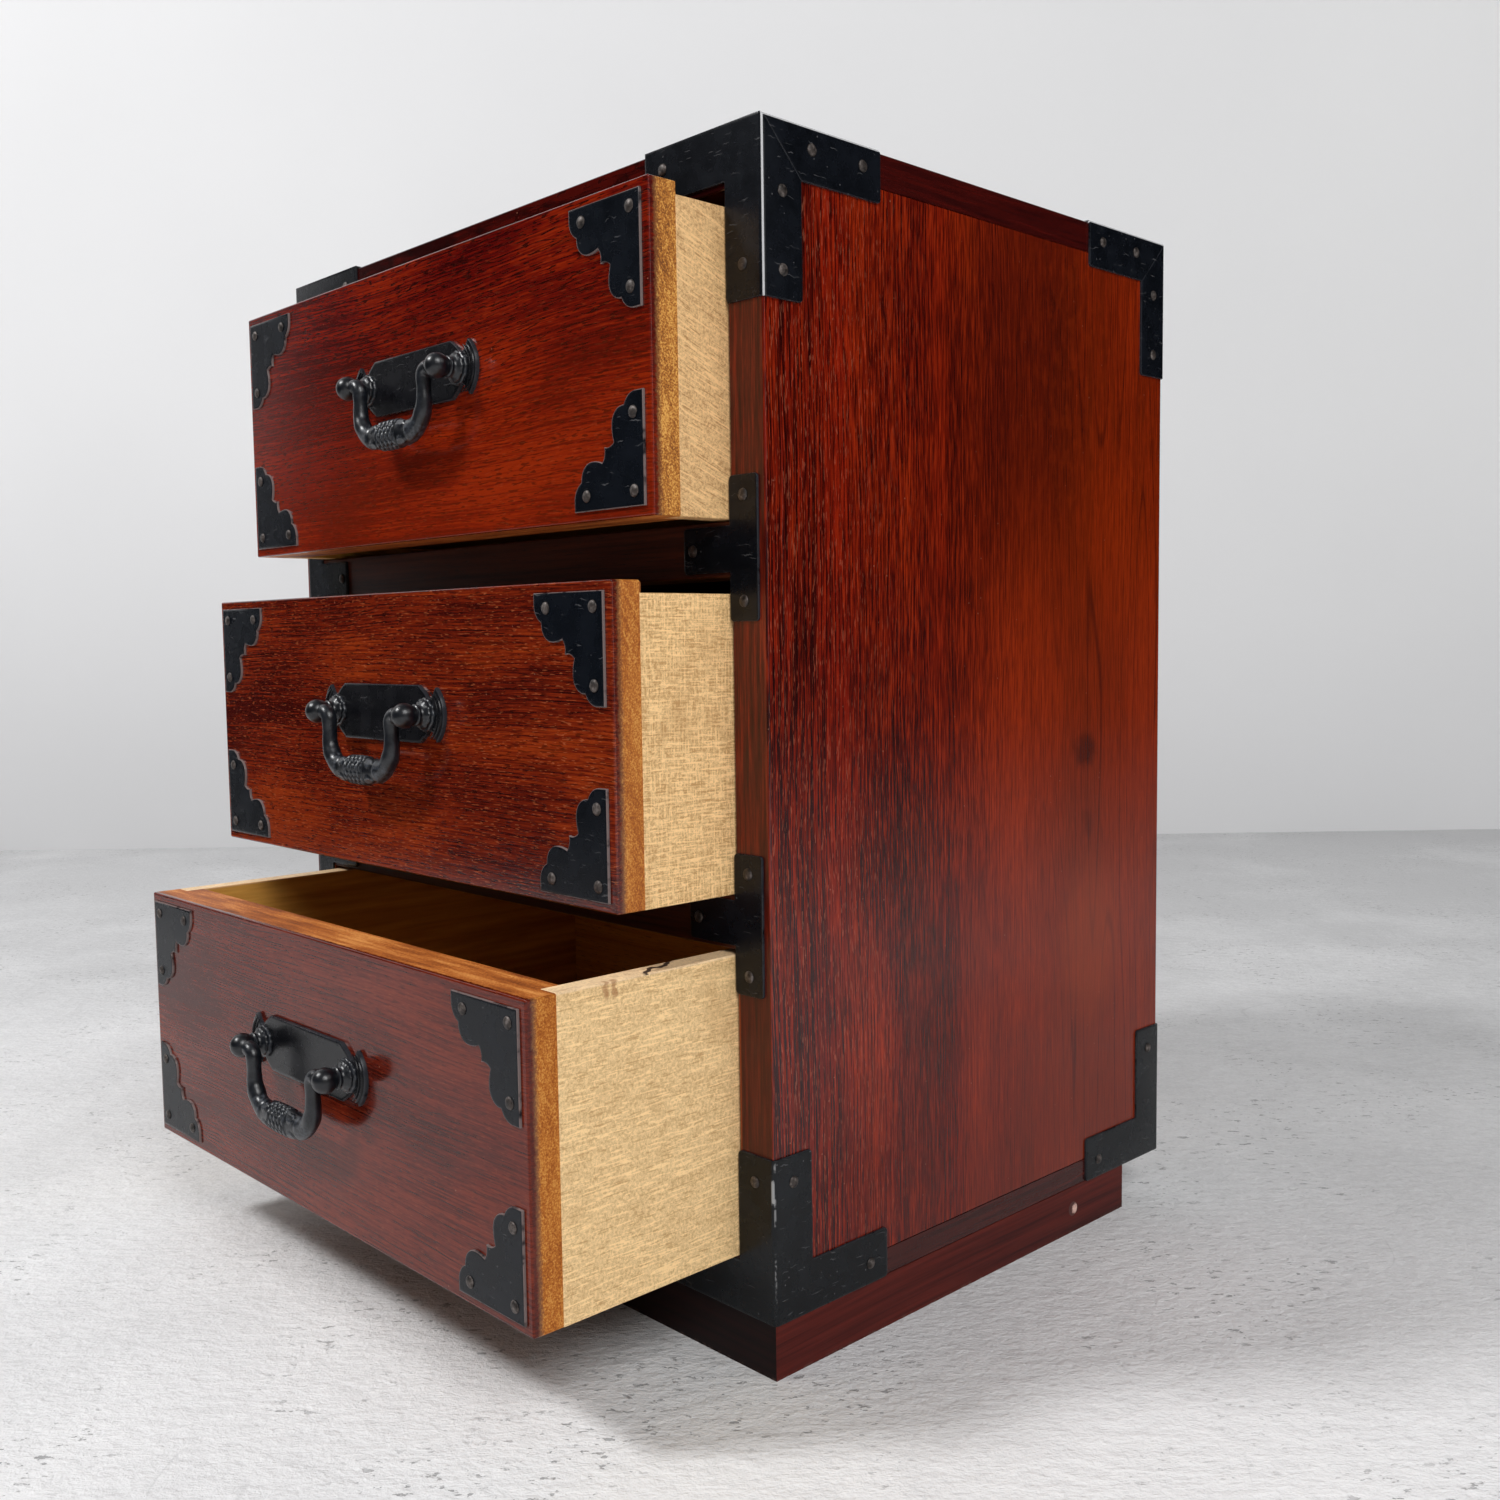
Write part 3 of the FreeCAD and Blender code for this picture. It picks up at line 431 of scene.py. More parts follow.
RIGHT, BACK, UP = Vector((1, 0, 0)), Vector((0, 1, 0)), Vector((0, 0, 1))
FACES = {"lower": -82.8, "middle": -51.9, "upper": -36.5}
LOWS = {"lower": 33.8, "middle": 142.4, "upper": 251}
HIGHS = {"lower": 124.7, "middle": 233.3, "upper": 341.9}
DRAWERS = tuple(FACES)


# ---- Outlines and meshes ----

def rounded(points, radius=ARM_ROUND, steps=5):
    """The corners of an outline, those with a third item rounded in short steps."""
    outline = []
    for i, point in enumerate(points):
        here = Vector(point[:2])
        if len(point) == 2:
            outline.append(here)
            continue
        back = (Vector(points[i - 1][:2]) - here).normalized()
        on = (Vector(points[(i + 1) % len(points)][:2]) - here).normalized()
        half_angle = back.angle(on) / 2
        centre = here + (back + on).normalized() * (radius / sin(half_angle))
        start, end = (here + way * (radius / tan(half_angle)) - centre for way in (back, on))
        turn = start.angle_signed(end)
        for angle in (-turn * step / steps for step in range(steps + 1)):
            outline.append(centre + Vector((start.x * cos(angle) - start.y * sin(angle),
                                            start.x * sin(angle) + start.y * cos(angle))))
    return outline


def arc_points(start, middle, end, steps=8):
    """Points on the circle through three points, from start up to but without end."""
    ax, ay, bx, by, cx, cy = *start, *middle, *end
    a, b, c = ax * ax + ay * ay, bx * bx + by * by, cx * cx + cy * cy
    d = 2 * (ax * (by - cy) + bx * (cy - ay) + cx * (ay - by))
    ux = (a * (by - cy) + b * (cy - ay) + c * (ay - by)) / d
    uy = (a * (cx - bx) + b * (ax - cx) + c * (bx - ax)) / d
    first, through, last = (atan2(p[1] - uy, p[0] - ux) for p in (start, middle, end))
    sweep = (last - first) % WHOLE
    if (through - first) % WHOLE > sweep:
        sweep -= WHOLE
    radius = hypot(ax - ux, ay - uy)
    angles = [first + sweep * i / steps for i in range(steps)]
    return [Vector((ux + radius * cos(angle), uy + radius * sin(angle))) for angle in angles]


def inset(outline, depth):
    """The outline moved inwards. It runs anticlockwise. Points that would cross over
    at a sharp tip are drawn together."""
    if depth == 0:
        return outline
    moved = []
    count = len(outline)
    for i, here in enumerate(outline):
        back = (here - outline[i - 1]).normalized()
        on = (outline[(i + 1) % count] - here).normalized()
        first, second = Vector((-back.y, back.x)), Vector((-on.y, on.x))
        moved.append(here + (first + second) * (depth / max(0.5, 1 + first.dot(second))))
    sound = [i for i, point in enumerate(moved) if gap_to(outline, point) > 0.96 * depth]
    return [moved[min(sound, key=lambda k: min((k - i) % count, (i - k) % count))] for i in range(count)]


def gap_to(outline, point):
    """Distance from a point to a closed outline."""
    gaps = []
    for start, end in zip(outline, outline[1:] + outline[:1]):
        run = end - start
        share = min(1, max(0, (point - start).dot(run) / max(run.length_squared, 1e-9)))
        gaps.append((point - start - run * share).length)
    return min(gaps)


def new_mesh():
    mesh = bmesh.new()
    mesh.verts.layers.float.new("wear")
    mesh.verts.layers.float.new("fold")
    return mesh


def skin(mesh, rings):
    """Walls between rings of (point, wear), closed at both ends. A ring of one point is a tip."""
    wear = mesh.verts.layers.float["wear"]
    made = []
    for ring in rings:
        made.append([mesh.verts.new(point) for point, share in ring])
        for vertex, (point, share) in zip(made[-1], ring):
            vertex[wear] = share
    for low, high in zip(made, made[1:]):
        for k in range(max(len(low), len(high))):
            corners = (low[k % len(low)], low[(k + 1) % len(low)],
                       high[(k + 1) % len(high)], high[k % len(high)])
            mesh.faces.new(list(dict.fromkeys(corners)))
    for ring in (made[0][::-1], made[-1]):
        if len(ring) > 2:
            mesh.faces.new(ring)


def add_sheet(mesh, outline, place, thickness=SHEET, bevel=PLATE_BEVEL, border=PLATE_BORDER, cuts=()):
    """Adds a flat sheet whose front edge is eased. place takes (u, v, height above its back) to a point.
    The wear layer is 1 on the edge and 0 a border inside it. The sheet is divided at each u in cuts."""
    area = sum(a.x * b.y - b.x * a.y for a, b in zip(outline, outline[1:] + outline[:1]))
    if area < 0:
        outline = outline[::-1]
    part = new_mesh()
    levels = ((0, 0, 1), (0, thickness - bevel, 1), (0.3 * bevel, thickness - 0.3 * bevel, 1),
              (bevel, thickness, 0.8), (border, thickness, 0))
    skin(part, [[((p.x, p.y, height), share) for p in inset(outline, depth)]
                for depth, height, share in levels])
    for cut in cuts:
        bmesh.ops.bisect_plane(part, geom=part.verts[:] + part.edges[:] + part.faces[:], dist=1e-6,
                               plane_co=(cut, 0, 0), plane_no=(1, 0, 0))
    fold = part.verts.layers.float["fold"]
    for vertex in part.verts:
        vertex[fold] = float(bool(cuts) and abs(vertex.co.x - FOLD_LINE) < FOLD_STEP)
    part.normal_update()
    bmesh.ops.triangulate(part, faces=[face for face in part.faces if len(face.verts) > 4])
    copies = {vertex: mesh.verts.new(place(*vertex.co)) for vertex in part.verts}
    for name in ("wear", "fold"):
        source, target = part.verts.layers.float[name], mesh.verts.layers.float[name]
        for vertex, copy in copies.items():
            copy[target] = vertex[source]
    for face in part.faces:
        mesh.faces.new([copies[vertex] for vertex in face.verts])
    part.free()


def new_object(name, data):
    made = bpy.data.objects.new(name, data)
    bpy.context.scene.collection.objects.link(made)
    return made


def piece(name, mesh, finish, body, slot, *nodes, sharp=40):
    """Turns millimetres into metres, and makes a piece that stands for CAD nodes on a body."""
    bmesh.ops.scale(mesh, vec=(MM, MM, MM), verts=mesh.verts)
    bmesh.ops.remove_doubles(mesh, verts=mesh.verts, dist=1e-6)
    bmesh.ops.recalc_face_normals(mesh, faces=mesh.faces)
    data = bpy.data.meshes.new(name)
    mesh.to_mesh(data)
    mesh.free()
    data.shade_smooth()
    data.set_sharp_from_angle(angle=radians(sharp))
    dress(new_object(name, data), finish, body, nodes)


def dress(made, finish, body, nodes):
    """Gives a made object its finish, and ties it to the frame."""
    made.data.materials.clear()
    made.data.materials.append(finish)
    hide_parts(*nodes)
    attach(made, body)


# ---- Plates on the case ----

def fold_place(corner, first, second, run):
    """Bends a sheet round a corner: u below 0 lies along first, above 0 along second."""
    def place(u, v, height):
        sunk = SHEET - height
        if u <= -FOLD:
            point = corner + first * -u + second * sunk
        elif u >= FOLD:
            point = corner + second * u + first * sunk
        else:
            angle = (u + FOLD) / (2 * FOLD) * QUARTER
            centre = corner + (first + second) * FOLD
            point = centre - (second * cos(angle) + first * sin(angle)) * (FOLD - sunk)
        return point + run * v
    return place


def mirror(point, side, end):
    """A point of the right front corner, taken to a side and an end of the case, each 1 or -1."""
    return Vector((side * point.x, MID_Y + end * (point.y - MID_Y), point.z))


def flat_place(corner, across=1, up=1):
    """Lays a sheet flat on a front, with u and v counted from a corner along the given ways."""
    return lambda u, v, height: corner + Vector((across * u, -height, up * v))


def corner_leaves(level):
    """Outlines of the leaves of a corner plate, laid flat, and how each is folded."""
    wide, corner = ARM_WIDTH, Vector((HALF_WIDTH + SHEET, FRONT_Y - SHEET, PLINTH_TOP))
    upper_end = [(-FRONT_ARM, ARM, 1), (-FRONT_ARM, wide), (-ARM, wide, 1)]
    if level == "bottom":
        around = [(-ARM, 0, 1), (ARM, 0, 1), (ARM, wide, 1), (wide, wide), (wide, ARM, 1)]
        return [(rounded(around + upper_end), fold_place(corner, -RIGHT, BACK, UP))]
    corner.z = TOP_Z + SHEET
    upright = [(-ARM, 0), (0, 0), (0, MITRE), (wide, wide + MITRE), (wide, ARM, 1)]
    over_top = [(-ARM, SHEET), (SHEET - MITRE, SHEET), (wide, wide - MITRE), (wide, ARM, 1), (-wide, ARM, 1),
                (-wide, wide), (-ARM, wide, 1)]
    return [(rounded(upright + upper_end), fold_place(corner, -RIGHT, BACK, -UP)),
            (rounded(over_top), fold_place(corner, -RIGHT, -UP, BACK))]


def corner_plates(level, finish):
    for end, way in (("front", 1), ("back", -1)):
        for side, sign in (("right", 1), ("left", -1)):
            mesh = new_mesh()
            for outline, place in corner_leaves(level):
                add_sheet(mesh, outline, lambda *at: mirror(place(*at), sign, way), cuts=FOLD_CUTS)
            piece(f"folded_plate_{level}_{end}_{side}", mesh, finish, "case", "black_iron_plate",
                  f"{level}_corner_{end}_{side}")


def rail_plates(finish):
    inner, outer, arm_end, half_strip, half_arm = 120.8, 132.3, 101, 20.75, 6.7
    outline = rounded([
        (inner, -half_strip, 1), (outer, -half_strip, 1), (outer, half_strip, 1),
        (inner, half_strip, 1), (inner, half_arm), (arm_end, half_arm, 1),
        (arm_end, -half_arm, 1), (inner, -half_arm)])
    for side, sign in (("right", 1), ("left", -1)):
        mesh = new_mesh()
        for middle in RAIL_MIDDLES:
            add_sheet(mesh, outline, flat_place(Vector((0, FRONT_Y, middle)), sign))
        piece(f"rail_end_plates_{side}", mesh, finish, "case", "black_iron_plate", f"rail_plates_{side}")


# ---- Scalloped plates ----

SCALLOP_INSET, SCALLOP_LEG = 2.8, 31.6
SCALLOP_BEVEL, SCALLOP_BORDER = 0.25, 0.9
SCALLOP_STEPS = (
    ((31.6, 2.8), (30.9, 6), (28.2, 8.4)),
    ((28.2, 8.4), (26.6, 12.6), (23.6, 13.9)),
    ((23.6, 13.9), (21, 13.8), (18.4, 13.1)),
    ((18.4, 13.1), (17.3, 15.2), (17.4, 17.4)),
)


def scallop_outline():
    points = [Vector((0, 0)), Vector((SCALLOP_LEG, 0))]
    for start, middle, end in SCALLOP_STEPS:
        points += arc_points(start, middle, end)
    for start, middle, end in reversed(SCALLOP_STEPS):
        points += arc_points(end[::-1], middle[::-1], start[::-1])
    return points + [Vector((SCALLOP_INSET, SCALLOP_LEG)), Vector((0, SCALLOP_LEG))]


def front_corners(name):
    """Corner of each scalloped plate of a front, and the way inwards from it."""
    for side in (1, -1):
        for height, up in ((HIGHS[name] - SCALLOP_INSET, -1), (LOWS[name] + SCALLOP_INSET, 1)):
            yield Vector((side * (FRONT_HALF - SCALLOP_INSET), FACES[name], height)), -side, up


def scalloped_plates(name, finish):
    mesh = new_mesh()
    for corner, inward, up in front_corners(name):
        add_sheet(mesh, scallop_outline(), flat_place(corner, inward, up), SHEET, SCALLOP_BEVEL, SCALLOP_BORDER)
    piece(f"{name}_scalloped_plates", mesh, finish, f"drawer_{name}", "black_iron_plate",
          f"drawer_{name}_corner_plates")


# ---- Domed nails ----

HEAD_RADIUS, HEAD_HEIGHT, DENT = 1.9, 0.8, 0.12


def nail_tree():
    """Puts a domed head at every point, each turned, sized and dented a little its own way."""
    tree = bpy.data.node_groups.new("domed_nails", "GeometryNodeTree")
    for label, kind in (("Points", "Geometry"), ("Head radius", "Float"), ("Head height", "Float"),
                        ("Dent", "Float"), ("Seed", "Int"), ("Iron", "Material")):
        tree.interface.new_socket(label, in_out="INPUT", socket_type=f"NodeSocket{kind}")
    tree.interface.new_socket("Heads", in_out="OUTPUT", socket_type="NodeSocketGeometry")

    def add(kind, sockets=None, **settings):
        kind = kind if "Node" in kind else f"GeometryNode{kind}"
        return add_node(tree, kind, sockets or {}, **settings)

    def maths(operation, first, second, kind="Math"):
        return add(f"ShaderNode{kind}", {0: first, 1: second}, operation=operation)[0]

    given = add("NodeGroupInput")
    wide, high = given["Head radius"], given["Head height"]
    ball = add("MeshUVSphere", {"Segments": 20, "Rings": 12, "Radius": 1})
    half_ball = maths("MAXIMUM", add("InputPosition")[0], (-1, -1, 0), "VectorMath")
    size = add("ShaderNodeCombineXYZ", {"X": wide, "Y": wide, "Z": high})
    dome = maths("MULTIPLY", half_ball, size[0], "VectorMath")
    head = add("SetPosition", {"Geometry": ball["Mesh"], "Position": dome})
    out = add("InputNamedAttribute", {"Name": "out"}, data_type="FLOAT_VECTOR")
    turned = add("FunctionNodeAlignRotationToVector", {"Vector": out["Attribute"]}, axis="Z")
    grown = add("FunctionNodeRandomValue", {2: 0.95, 3: 1, "Seed": given["Seed"]}, data_type="FLOAT")
    placed = add("InstanceOnPoints", {"Points": given["Points"], "Instance": head[0], "Rotation": turned[0],
                                      "Scale": grown[1]})
    real = add("RealizeInstances", {"Geometry": placed[0]})
    cloud = add("ShaderNodeTexNoise", {"Scale": 900, "Detail": 2})
    push = maths("MULTIPLY", maths("SUBTRACT", cloud[0], 0.75), given["Dent"])
    offset = add("ShaderNodeVectorMath", {0: add("InputNormal")[0], "Scale": push}, operation="SCALE")
    dented = add("SetPosition", {"Geometry": real[0], "Offset": offset[0]})
    smoothed = add("SetShadeSmooth", {"Geometry": dented[0]})
    coated = add("SetMaterial", {"Geometry": smoothed[0], "Material": given["Iron"]})
    add("NodeGroupOutput", {0: coated[0]})
    return tree


def nails(name, spots, tree, finish, body, node, seed):
    """One plain mesh of domed heads at (point, out) spots given in millimetres."""
    data = bpy.data.meshes.new(name)
    data.from_pydata([tuple(point * MM) for point, out in spots], [], [])
    outward = data.attributes.new("out", "FLOAT_VECTOR", "POINT")
    outward.data.foreach_set("vector", [part for point, out in spots for part in out])
    holder = new_object(name, data)
    modifier = holder.modifiers.new("heads", "NODES")
    modifier.node_group = tree
    values = {"Head radius": HEAD_RADIUS * MM, "Head height": HEAD_HEIGHT * MM, "Dent": DENT * MM,
              "Seed": seed, "Iron": finish}
    for item in tree.interface.items_tree:
        if item.name in values:
            modifier[item.identifier] = values[item.name]
    bpy.context.view_layer.update()
    depsgraph = bpy.context.evaluated_depsgraph_get()
    made = bpy.data.meshes.new_from_object(holder.evaluated_get(depsgraph), depsgraph=depsgraph)
    made.name = name
    holder.modifiers.remove(modifier)
    holder.data = made
    dress(holder, finish, body, [node])


def case_nail_spots():
    side_x, front_y = HALF_WIDTH + SHEET, FRONT_Y - SHEET
    row, column, near, far, down, on_top = 6.5, 8, 20, 41.5, 39.7, 33
    front, spots = -BACK, []
    # Steps inwards from a front corner, and the way the nail faces.
    at_top = ((column, 0, down, front), (far, 0, row, front), (0, near, row, RIGHT), (0, far, row, RIGHT),
              (0, column, near, RIGHT), (0, column, far, RIGHT), (on_top, column, 0, UP),
              (column, on_top, 0, UP))
    at_bottom = ((column, 0, far, front), (far, 0, row, front), (0, column, far, RIGHT), (0, far, row, RIGHT))
    for level, way, steps in ((TOP_Z + SHEET, -1, at_top), (PLINTH_TOP, 1, at_bottom)):
        for x, y, z, out in steps:
            point = Vector((side_x - x, front_y + y, level + way * z))
            for side, end in ((1, 1), (1, -1), (-1, 1), (-1, -1)):
                spots.append((mirror(point, side, end), Vector((side * out.x, end * out.y, out.z))))
    strip_middle, half_pitch, rail_nail = 126.55, 15, 105
    for middle in RAIL_MIDDLES:
        for side in (1, -1):
            for x, z in ((strip_middle, -half_pitch), (strip_middle, half_pitch), (rail_nail, 0)):
                spots.append((Vector((side * x, front_y, middle + z)), front))
    return spots


def front_nail_spots(name):
    near, far = 4.3, 25.8
    return [(corner + Vector((inward * u, -SHEET, up * v)), -BACK)
            for corner, inward, up in front_corners(name)
            for u, v in ((near, near), (far, near), (near, far))]


# ---- Handles ----

POST_X, POST_REACH, BALL = 28, 9.2, 4
PLATE_THICK, BALL_FOOT = 1.4, 5
AROUND_POST, AROUND_BAIL, BALL_STEPS = 48, 56, 14


def round_angles(count):
    return [WHOLE * k / count for k in range(count)]


def pivot_height(name):
    return (LOWS[name] + HIGHS[name]) / 2 + 6.6


def handle_plate(name, finish):
    """A flat plate with notched corners, and a raised crescent along each end."""
    centre = Vector((0, FACES[name], pivot_height(name)))
    right = [
        Vector((23.5, -9.2)), *arc_points((27.4, -6.6), (29.6, -5.2), (31.6, -5.9)), Vector((31.6, -5.9)),
        *arc_points((33.4, -8.6), (37.8, 0), (33.4, 8.6), 20), Vector((33.4, 8.6)),
        *arc_points((31.6, 5.9), (29.6, 5.2), (27.4, 6.6)), Vector((27.4, 6.6)), Vector((23.5, 9.2))]
    mesh = new_mesh()
    add_sheet(mesh, right + [-p for p in right], flat_place(centre), PLATE_THICK, 0.35, 1.1)
    for side in (1, -1):
        for inset_by, radius in ((1.3, 0.55), (3.2, 0.38)):
            path = arc_points((33.1 - inset_by, -7.6), (37.8 - inset_by, 0), (33.1 - inset_by, 7.6), 18)
            spine = [centre + Vector((side * p.x, -PLATE_THICK, p.y)) for p in path]
            add_crescent(mesh, spine, radius)
    piece(f"{name}_handle_plate", mesh, finish, f"drawer_{name}", "handle_iron", f"drawer_{name}_handle_plate")


def add_crescent(mesh, spine, radius):
    """A rod along a spine, thinner towards its ends."""
    rings = []
    last = len(spine) - 1
    for i, here in enumerate(spine):
        run = (spine[min(i + 1, last)] - spine[max(i - 1, 0)]).normalized()
        across = run.cross(BACK).normalized()
        size = radius * (1 - abs(2 * (i / last) - 1) ** 4 * 0.7)
        rings.append([(here + (across * cos(angle) + BACK * sin(angle)) * size, 0.6)
                      for angle in round_angles(8)])
    skin(mesh, rings)


SHANK_PROFILE = ((0, -20.9), (1.9, -20.9), (2, -20.6), (2, -0.02))
POST_PROFILE = (
    (5.5, 0), (5.55, 0.55), (5.3, 0.9), (4.75, 1.05), (4.85, 1.5), (4.5, 1.95), (3.7, 2.35), (3.25, 2.75),
    (3.05, 3.2), (3, 3.7), (3.3, 3.95), (3.45, 4.2), (3.3, 4.45), (2.95, 4.65),
)


def post_profile():
    """(radius, height above the plate) from the tail of the shank to the top of the ball."""
    centre = POST_REACH - PLATE_THICK
    start = -acos(POST_PROFILE[-1][0] / BALL)
    swings = (start + (QUARTER - start) * i / BALL_STEPS for i in range(BALL_STEPS))
    ball = [(BALL * cos(swing), centre + BALL * sin(swing)) for swing in swings]
    return [*SHANK_PROFILE, *POST_PROFILE, *ball, (0, centre + BALL)]


def handle_posts(name, finish):
    mesh = new_mesh()
    ribs = 12
    for side in (1, -1):
        base = Vector((side * POST_X, FACES[name] - PLATE_THICK, pivot_height(name)))
        rings = []
        for radius, height in post_profile():
            share = 0.5 if radius > 5 else 0.15 if 0 < height < BALL_FOOT else 0
            depth = 0.035 if 4 < radius < 5.6 else 0
            rings.append([])
            for angle in round_angles(AROUND_POST if radius else 1):
                ribbed = radius * (1 - depth * (1 - cos(ribs * angle)))
                point = base + Vector((ribbed * cos(angle), -height, ribbed * sin(angle)))
                rings[-1].append((point, share))
        skin(mesh, rings)
    piece(f"{name}_handle_posts", mesh, finish, f"drawer_{name}", "handle_iron",
          f"drawer_{name}_handle_posts", sharp=60)


LEG_X, BEND, LEG_DOWN, DROP = 20, 2.8, 9, 18.4
ROD, GRIP_HIGH, GRIP_DEEP = 2.5, 4.9, 3.5
ROD_END, PIVOT, PIVOT_IN = 23.7, 1.4, 3.4
GRIP_TURN, GRIP_ROUND, CARVED_BELOW = DROP - LEG_DOWN, 4.2, 3 - DROP
END_SIZE = ROD - 0.3
SHOULDER = ((ROD_END + 0.3 + PIVOT_IN, PIVOT), (ROD_END + 0.01, PIVOT), (ROD_END, ROD - 0.35))


def bail_spine():
    """(x, z, turn) of the middle line of the right half, from the pivot to the middle of the grip."""
    bend_steps, leg_steps, turn_steps, grip_steps = 12, 8, 28, 48
    spine = [(x, 0, QUARTER) for x in (ROD_END, 23.4, 23.1)]
    for i in range(bend_steps + 1):
        swing = QUARTER * i / bend_steps
        spine.append((LEG_X + BEND * (1 - sin(swing)), -BEND * (1 - cos(swing)), QUARTER + swing))
    for i in range(1, leg_steps):
        spine.append((LEG_X, -BEND - (LEG_DOWN - BEND) * i / leg_steps, pi))
    for i in range(turn_steps + 1):
        swing = QUARTER * i / turn_steps
        spine.append((LEG_X - GRIP_TURN * (1 - cos(swing)), -LEG_DOWN - GRIP_TURN * sin(swing),
                      pi - swing))
    for i in range(1, grip_steps + 1):
        spine.append(((LEG_X - GRIP_TURN) * (1 - i / grip_steps), -DROP, QUARTER))
    return spine


def smooth(value, start, end):
    share = min(1, max(0, (value - start) / (end - start)))
    return share * share * (3 - 2 * share)


def bell(value, middle, width):
    return exp(-((value - middle) / width) ** 2)


def bail_size(x, z):
    """Half height and half depth of the bail at a point of its middle line."""
    below = z < -LEG_DOWN
    swing = atan2(-LEG_DOWN - z, x - (LEG_X - GRIP_TURN)) if below else 0
    if x < LEG_X - GRIP_TURN:
        growth = 0.7 + 0.25 * smooth(x, 10.6, 5.3) + 0.05 * smooth(x, 5.3, 0)
    else:
        growth = 0.7 * (max(0, swing) / QUARTER) ** 2
    knuckle = 0.28 * bell(swing, 0.5, 0.22) if below else 0
    waist = -0.22 * bell(z, -6.2, 2.4) if x > LEG_X - 1 else 0
    return tuple(ROD + (full - ROD) * growth + knuckle + waist for full in (GRIP_HIGH, GRIP_DEEP))


def grip_relief(x, angle):
    """How deep the carving of the grip is at a place, and how bright its top is rubbed."""
    reach = abs(x)
    around = angle * GRIP_ROUND * 0.66
    grooves = (abs(sin(pi * (x + way * around) / 2.5)) for way in (1, -1))
    groove = 1 - smooth(min(grooves), 0.05, 0.55)
    turned = ((angle % QUARTER) - QUARTER / 2) * GRIP_ROUND
    leaf = 1 - ((reach - 8.7) / 2.3) ** 2 - (turned / 2) ** 2
    beside = (1 - smooth(leaf, 0, 0.25)) * smooth(reach, 6.1, 6.6) * smooth(reach, 12.4, 11.2)
    vein = bell(turned, 0, 0.28) * smooth(leaf, 0.3, 0.7) * 0.5
    depth = (0.6 * groove * smooth(reach, 5.6, 5) + 0.45 * bell(reach, 6, 0.32)
             + 0.45 * beside + 0.3 * vein)
    return depth, 1 - min(1, depth / 0.4)


def bail(name, finish):
    """The hanging handle: two turned-out pivots, legs and a thick carved grip."""
    pivot = Vector((0, FACES[name] - POST_REACH, pivot_height(name)))
    half = [(x, 0, QUARTER, size, size) for x, size in SHOULDER]
    for x, z, turn in bail_spine():
        half.append((x, z, turn, *((END_SIZE, END_SIZE) if x == ROD_END else bail_size(x, z))))
    rings = []
    for x, z, turn, high, deep in half + [(-x, z, pi - turn, *size) for x, z, turn, *size in half[-2::-1]]:
        up = Vector((cos(turn), 0, sin(turn)))
        rings.append([])
        for angle in round_angles(AROUND_BAIL):
            depth, bright = grip_relief(x, angle) if z < CARVED_BELOW else (0, 0.25)
            point = (pivot + Vector((x, 0, z)) + up * cos(angle) * (high - depth)
                     + BACK * sin(angle) * (deep - depth))
            rings[-1].append((point, bright))
    mesh = new_mesh()
    skin(mesh, rings)
    piece(f"{name}_bail", mesh, finish, f"bail_{name}", "handle_iron", f"drawer_{name}_bail", sharp=60)


# ---- The whole chest ----

def coat(finish, *nodes):
    """Gives CAD nodes a finish."""
    for name in nodes:
        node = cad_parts[name]
        if not node.material_slots:
            node.data.materials.append(finish)
        for place in node.material_slots:
            place.material = finish


coat(case_side_finish(), "side_right", "side_left")
coat(end_board_finish("lacquered_top_board", 4, (38, 6, 6), (68, 12, 8)), "top_board")
coat(end_board_finish("lacquered_bottom_board", 6, (44, 14, 12), (74, 26, 20)), "bottom_board")
# The plinth front is painted far darker than its sides, as painted shade under the drawers.
coat(plinth_finish("plinth_front_painted_shade", "x", 3, (15, 7, 7), (36, 15, 13)), "plinth_front")
coat(plinth_finish("dark_plinth_side", "y", 5, (52, 14, 12), (98, 34, 26)), "plinth_right", "plinth_left")
coat(plain_wood_finish("dark_rail_wood", "x", "z", 8, (38, 14, 8), (94, 42, 22), 0.45, 0.2),
     "rail_upper", "rail_lower")
coat(plain_wood_finish("runner_wood", "y", "z", 9, (70, 36, 18), (120, 70, 36)),
     "drawer_runners", "plinth_cross_board")
coat(plain_wood_finish("back_panel_wood", "z", "x", 10, (96, 58, 30), (150, 100, 58)), "back_panel")
coat(plug_finish(), "plinth_plugs")
steel = bare_metal_finish("bright_steel", 0.7, 0.3, 0.02, 1, (0.3, 150, 150, 150), (0.7, 196, 196, 194))
coat(steel, "plinth_screws", *(f"drawer_{name}_handle_nuts" for name in DRAWERS))
golden_box_wood = plain_wood_finish("golden_box_wood", "x", "z", 14, *GOLDEN, 0.5)

# Seed, three tones, and the shares of pores, glow, shine, warmth and flecks.
FRONT_LOOKS = {
    "upper": (1, ((54, 4, 5), (92, 12, 6), (132, 34, 8)), 0.8, 0.3, 0.5, 0, 0.05),
    "middle": (2.7, ((60, 11, 7), (102, 28, 11), (136, 48, 15)), 0.55, 0, 0.45, 0.4, 0.28),
    "lower": (5.1, ((66, 17, 9), (92, 27, 14), (114, 40, 21)), 0.35, 0, 0.28, 0.4, 0.1),
}
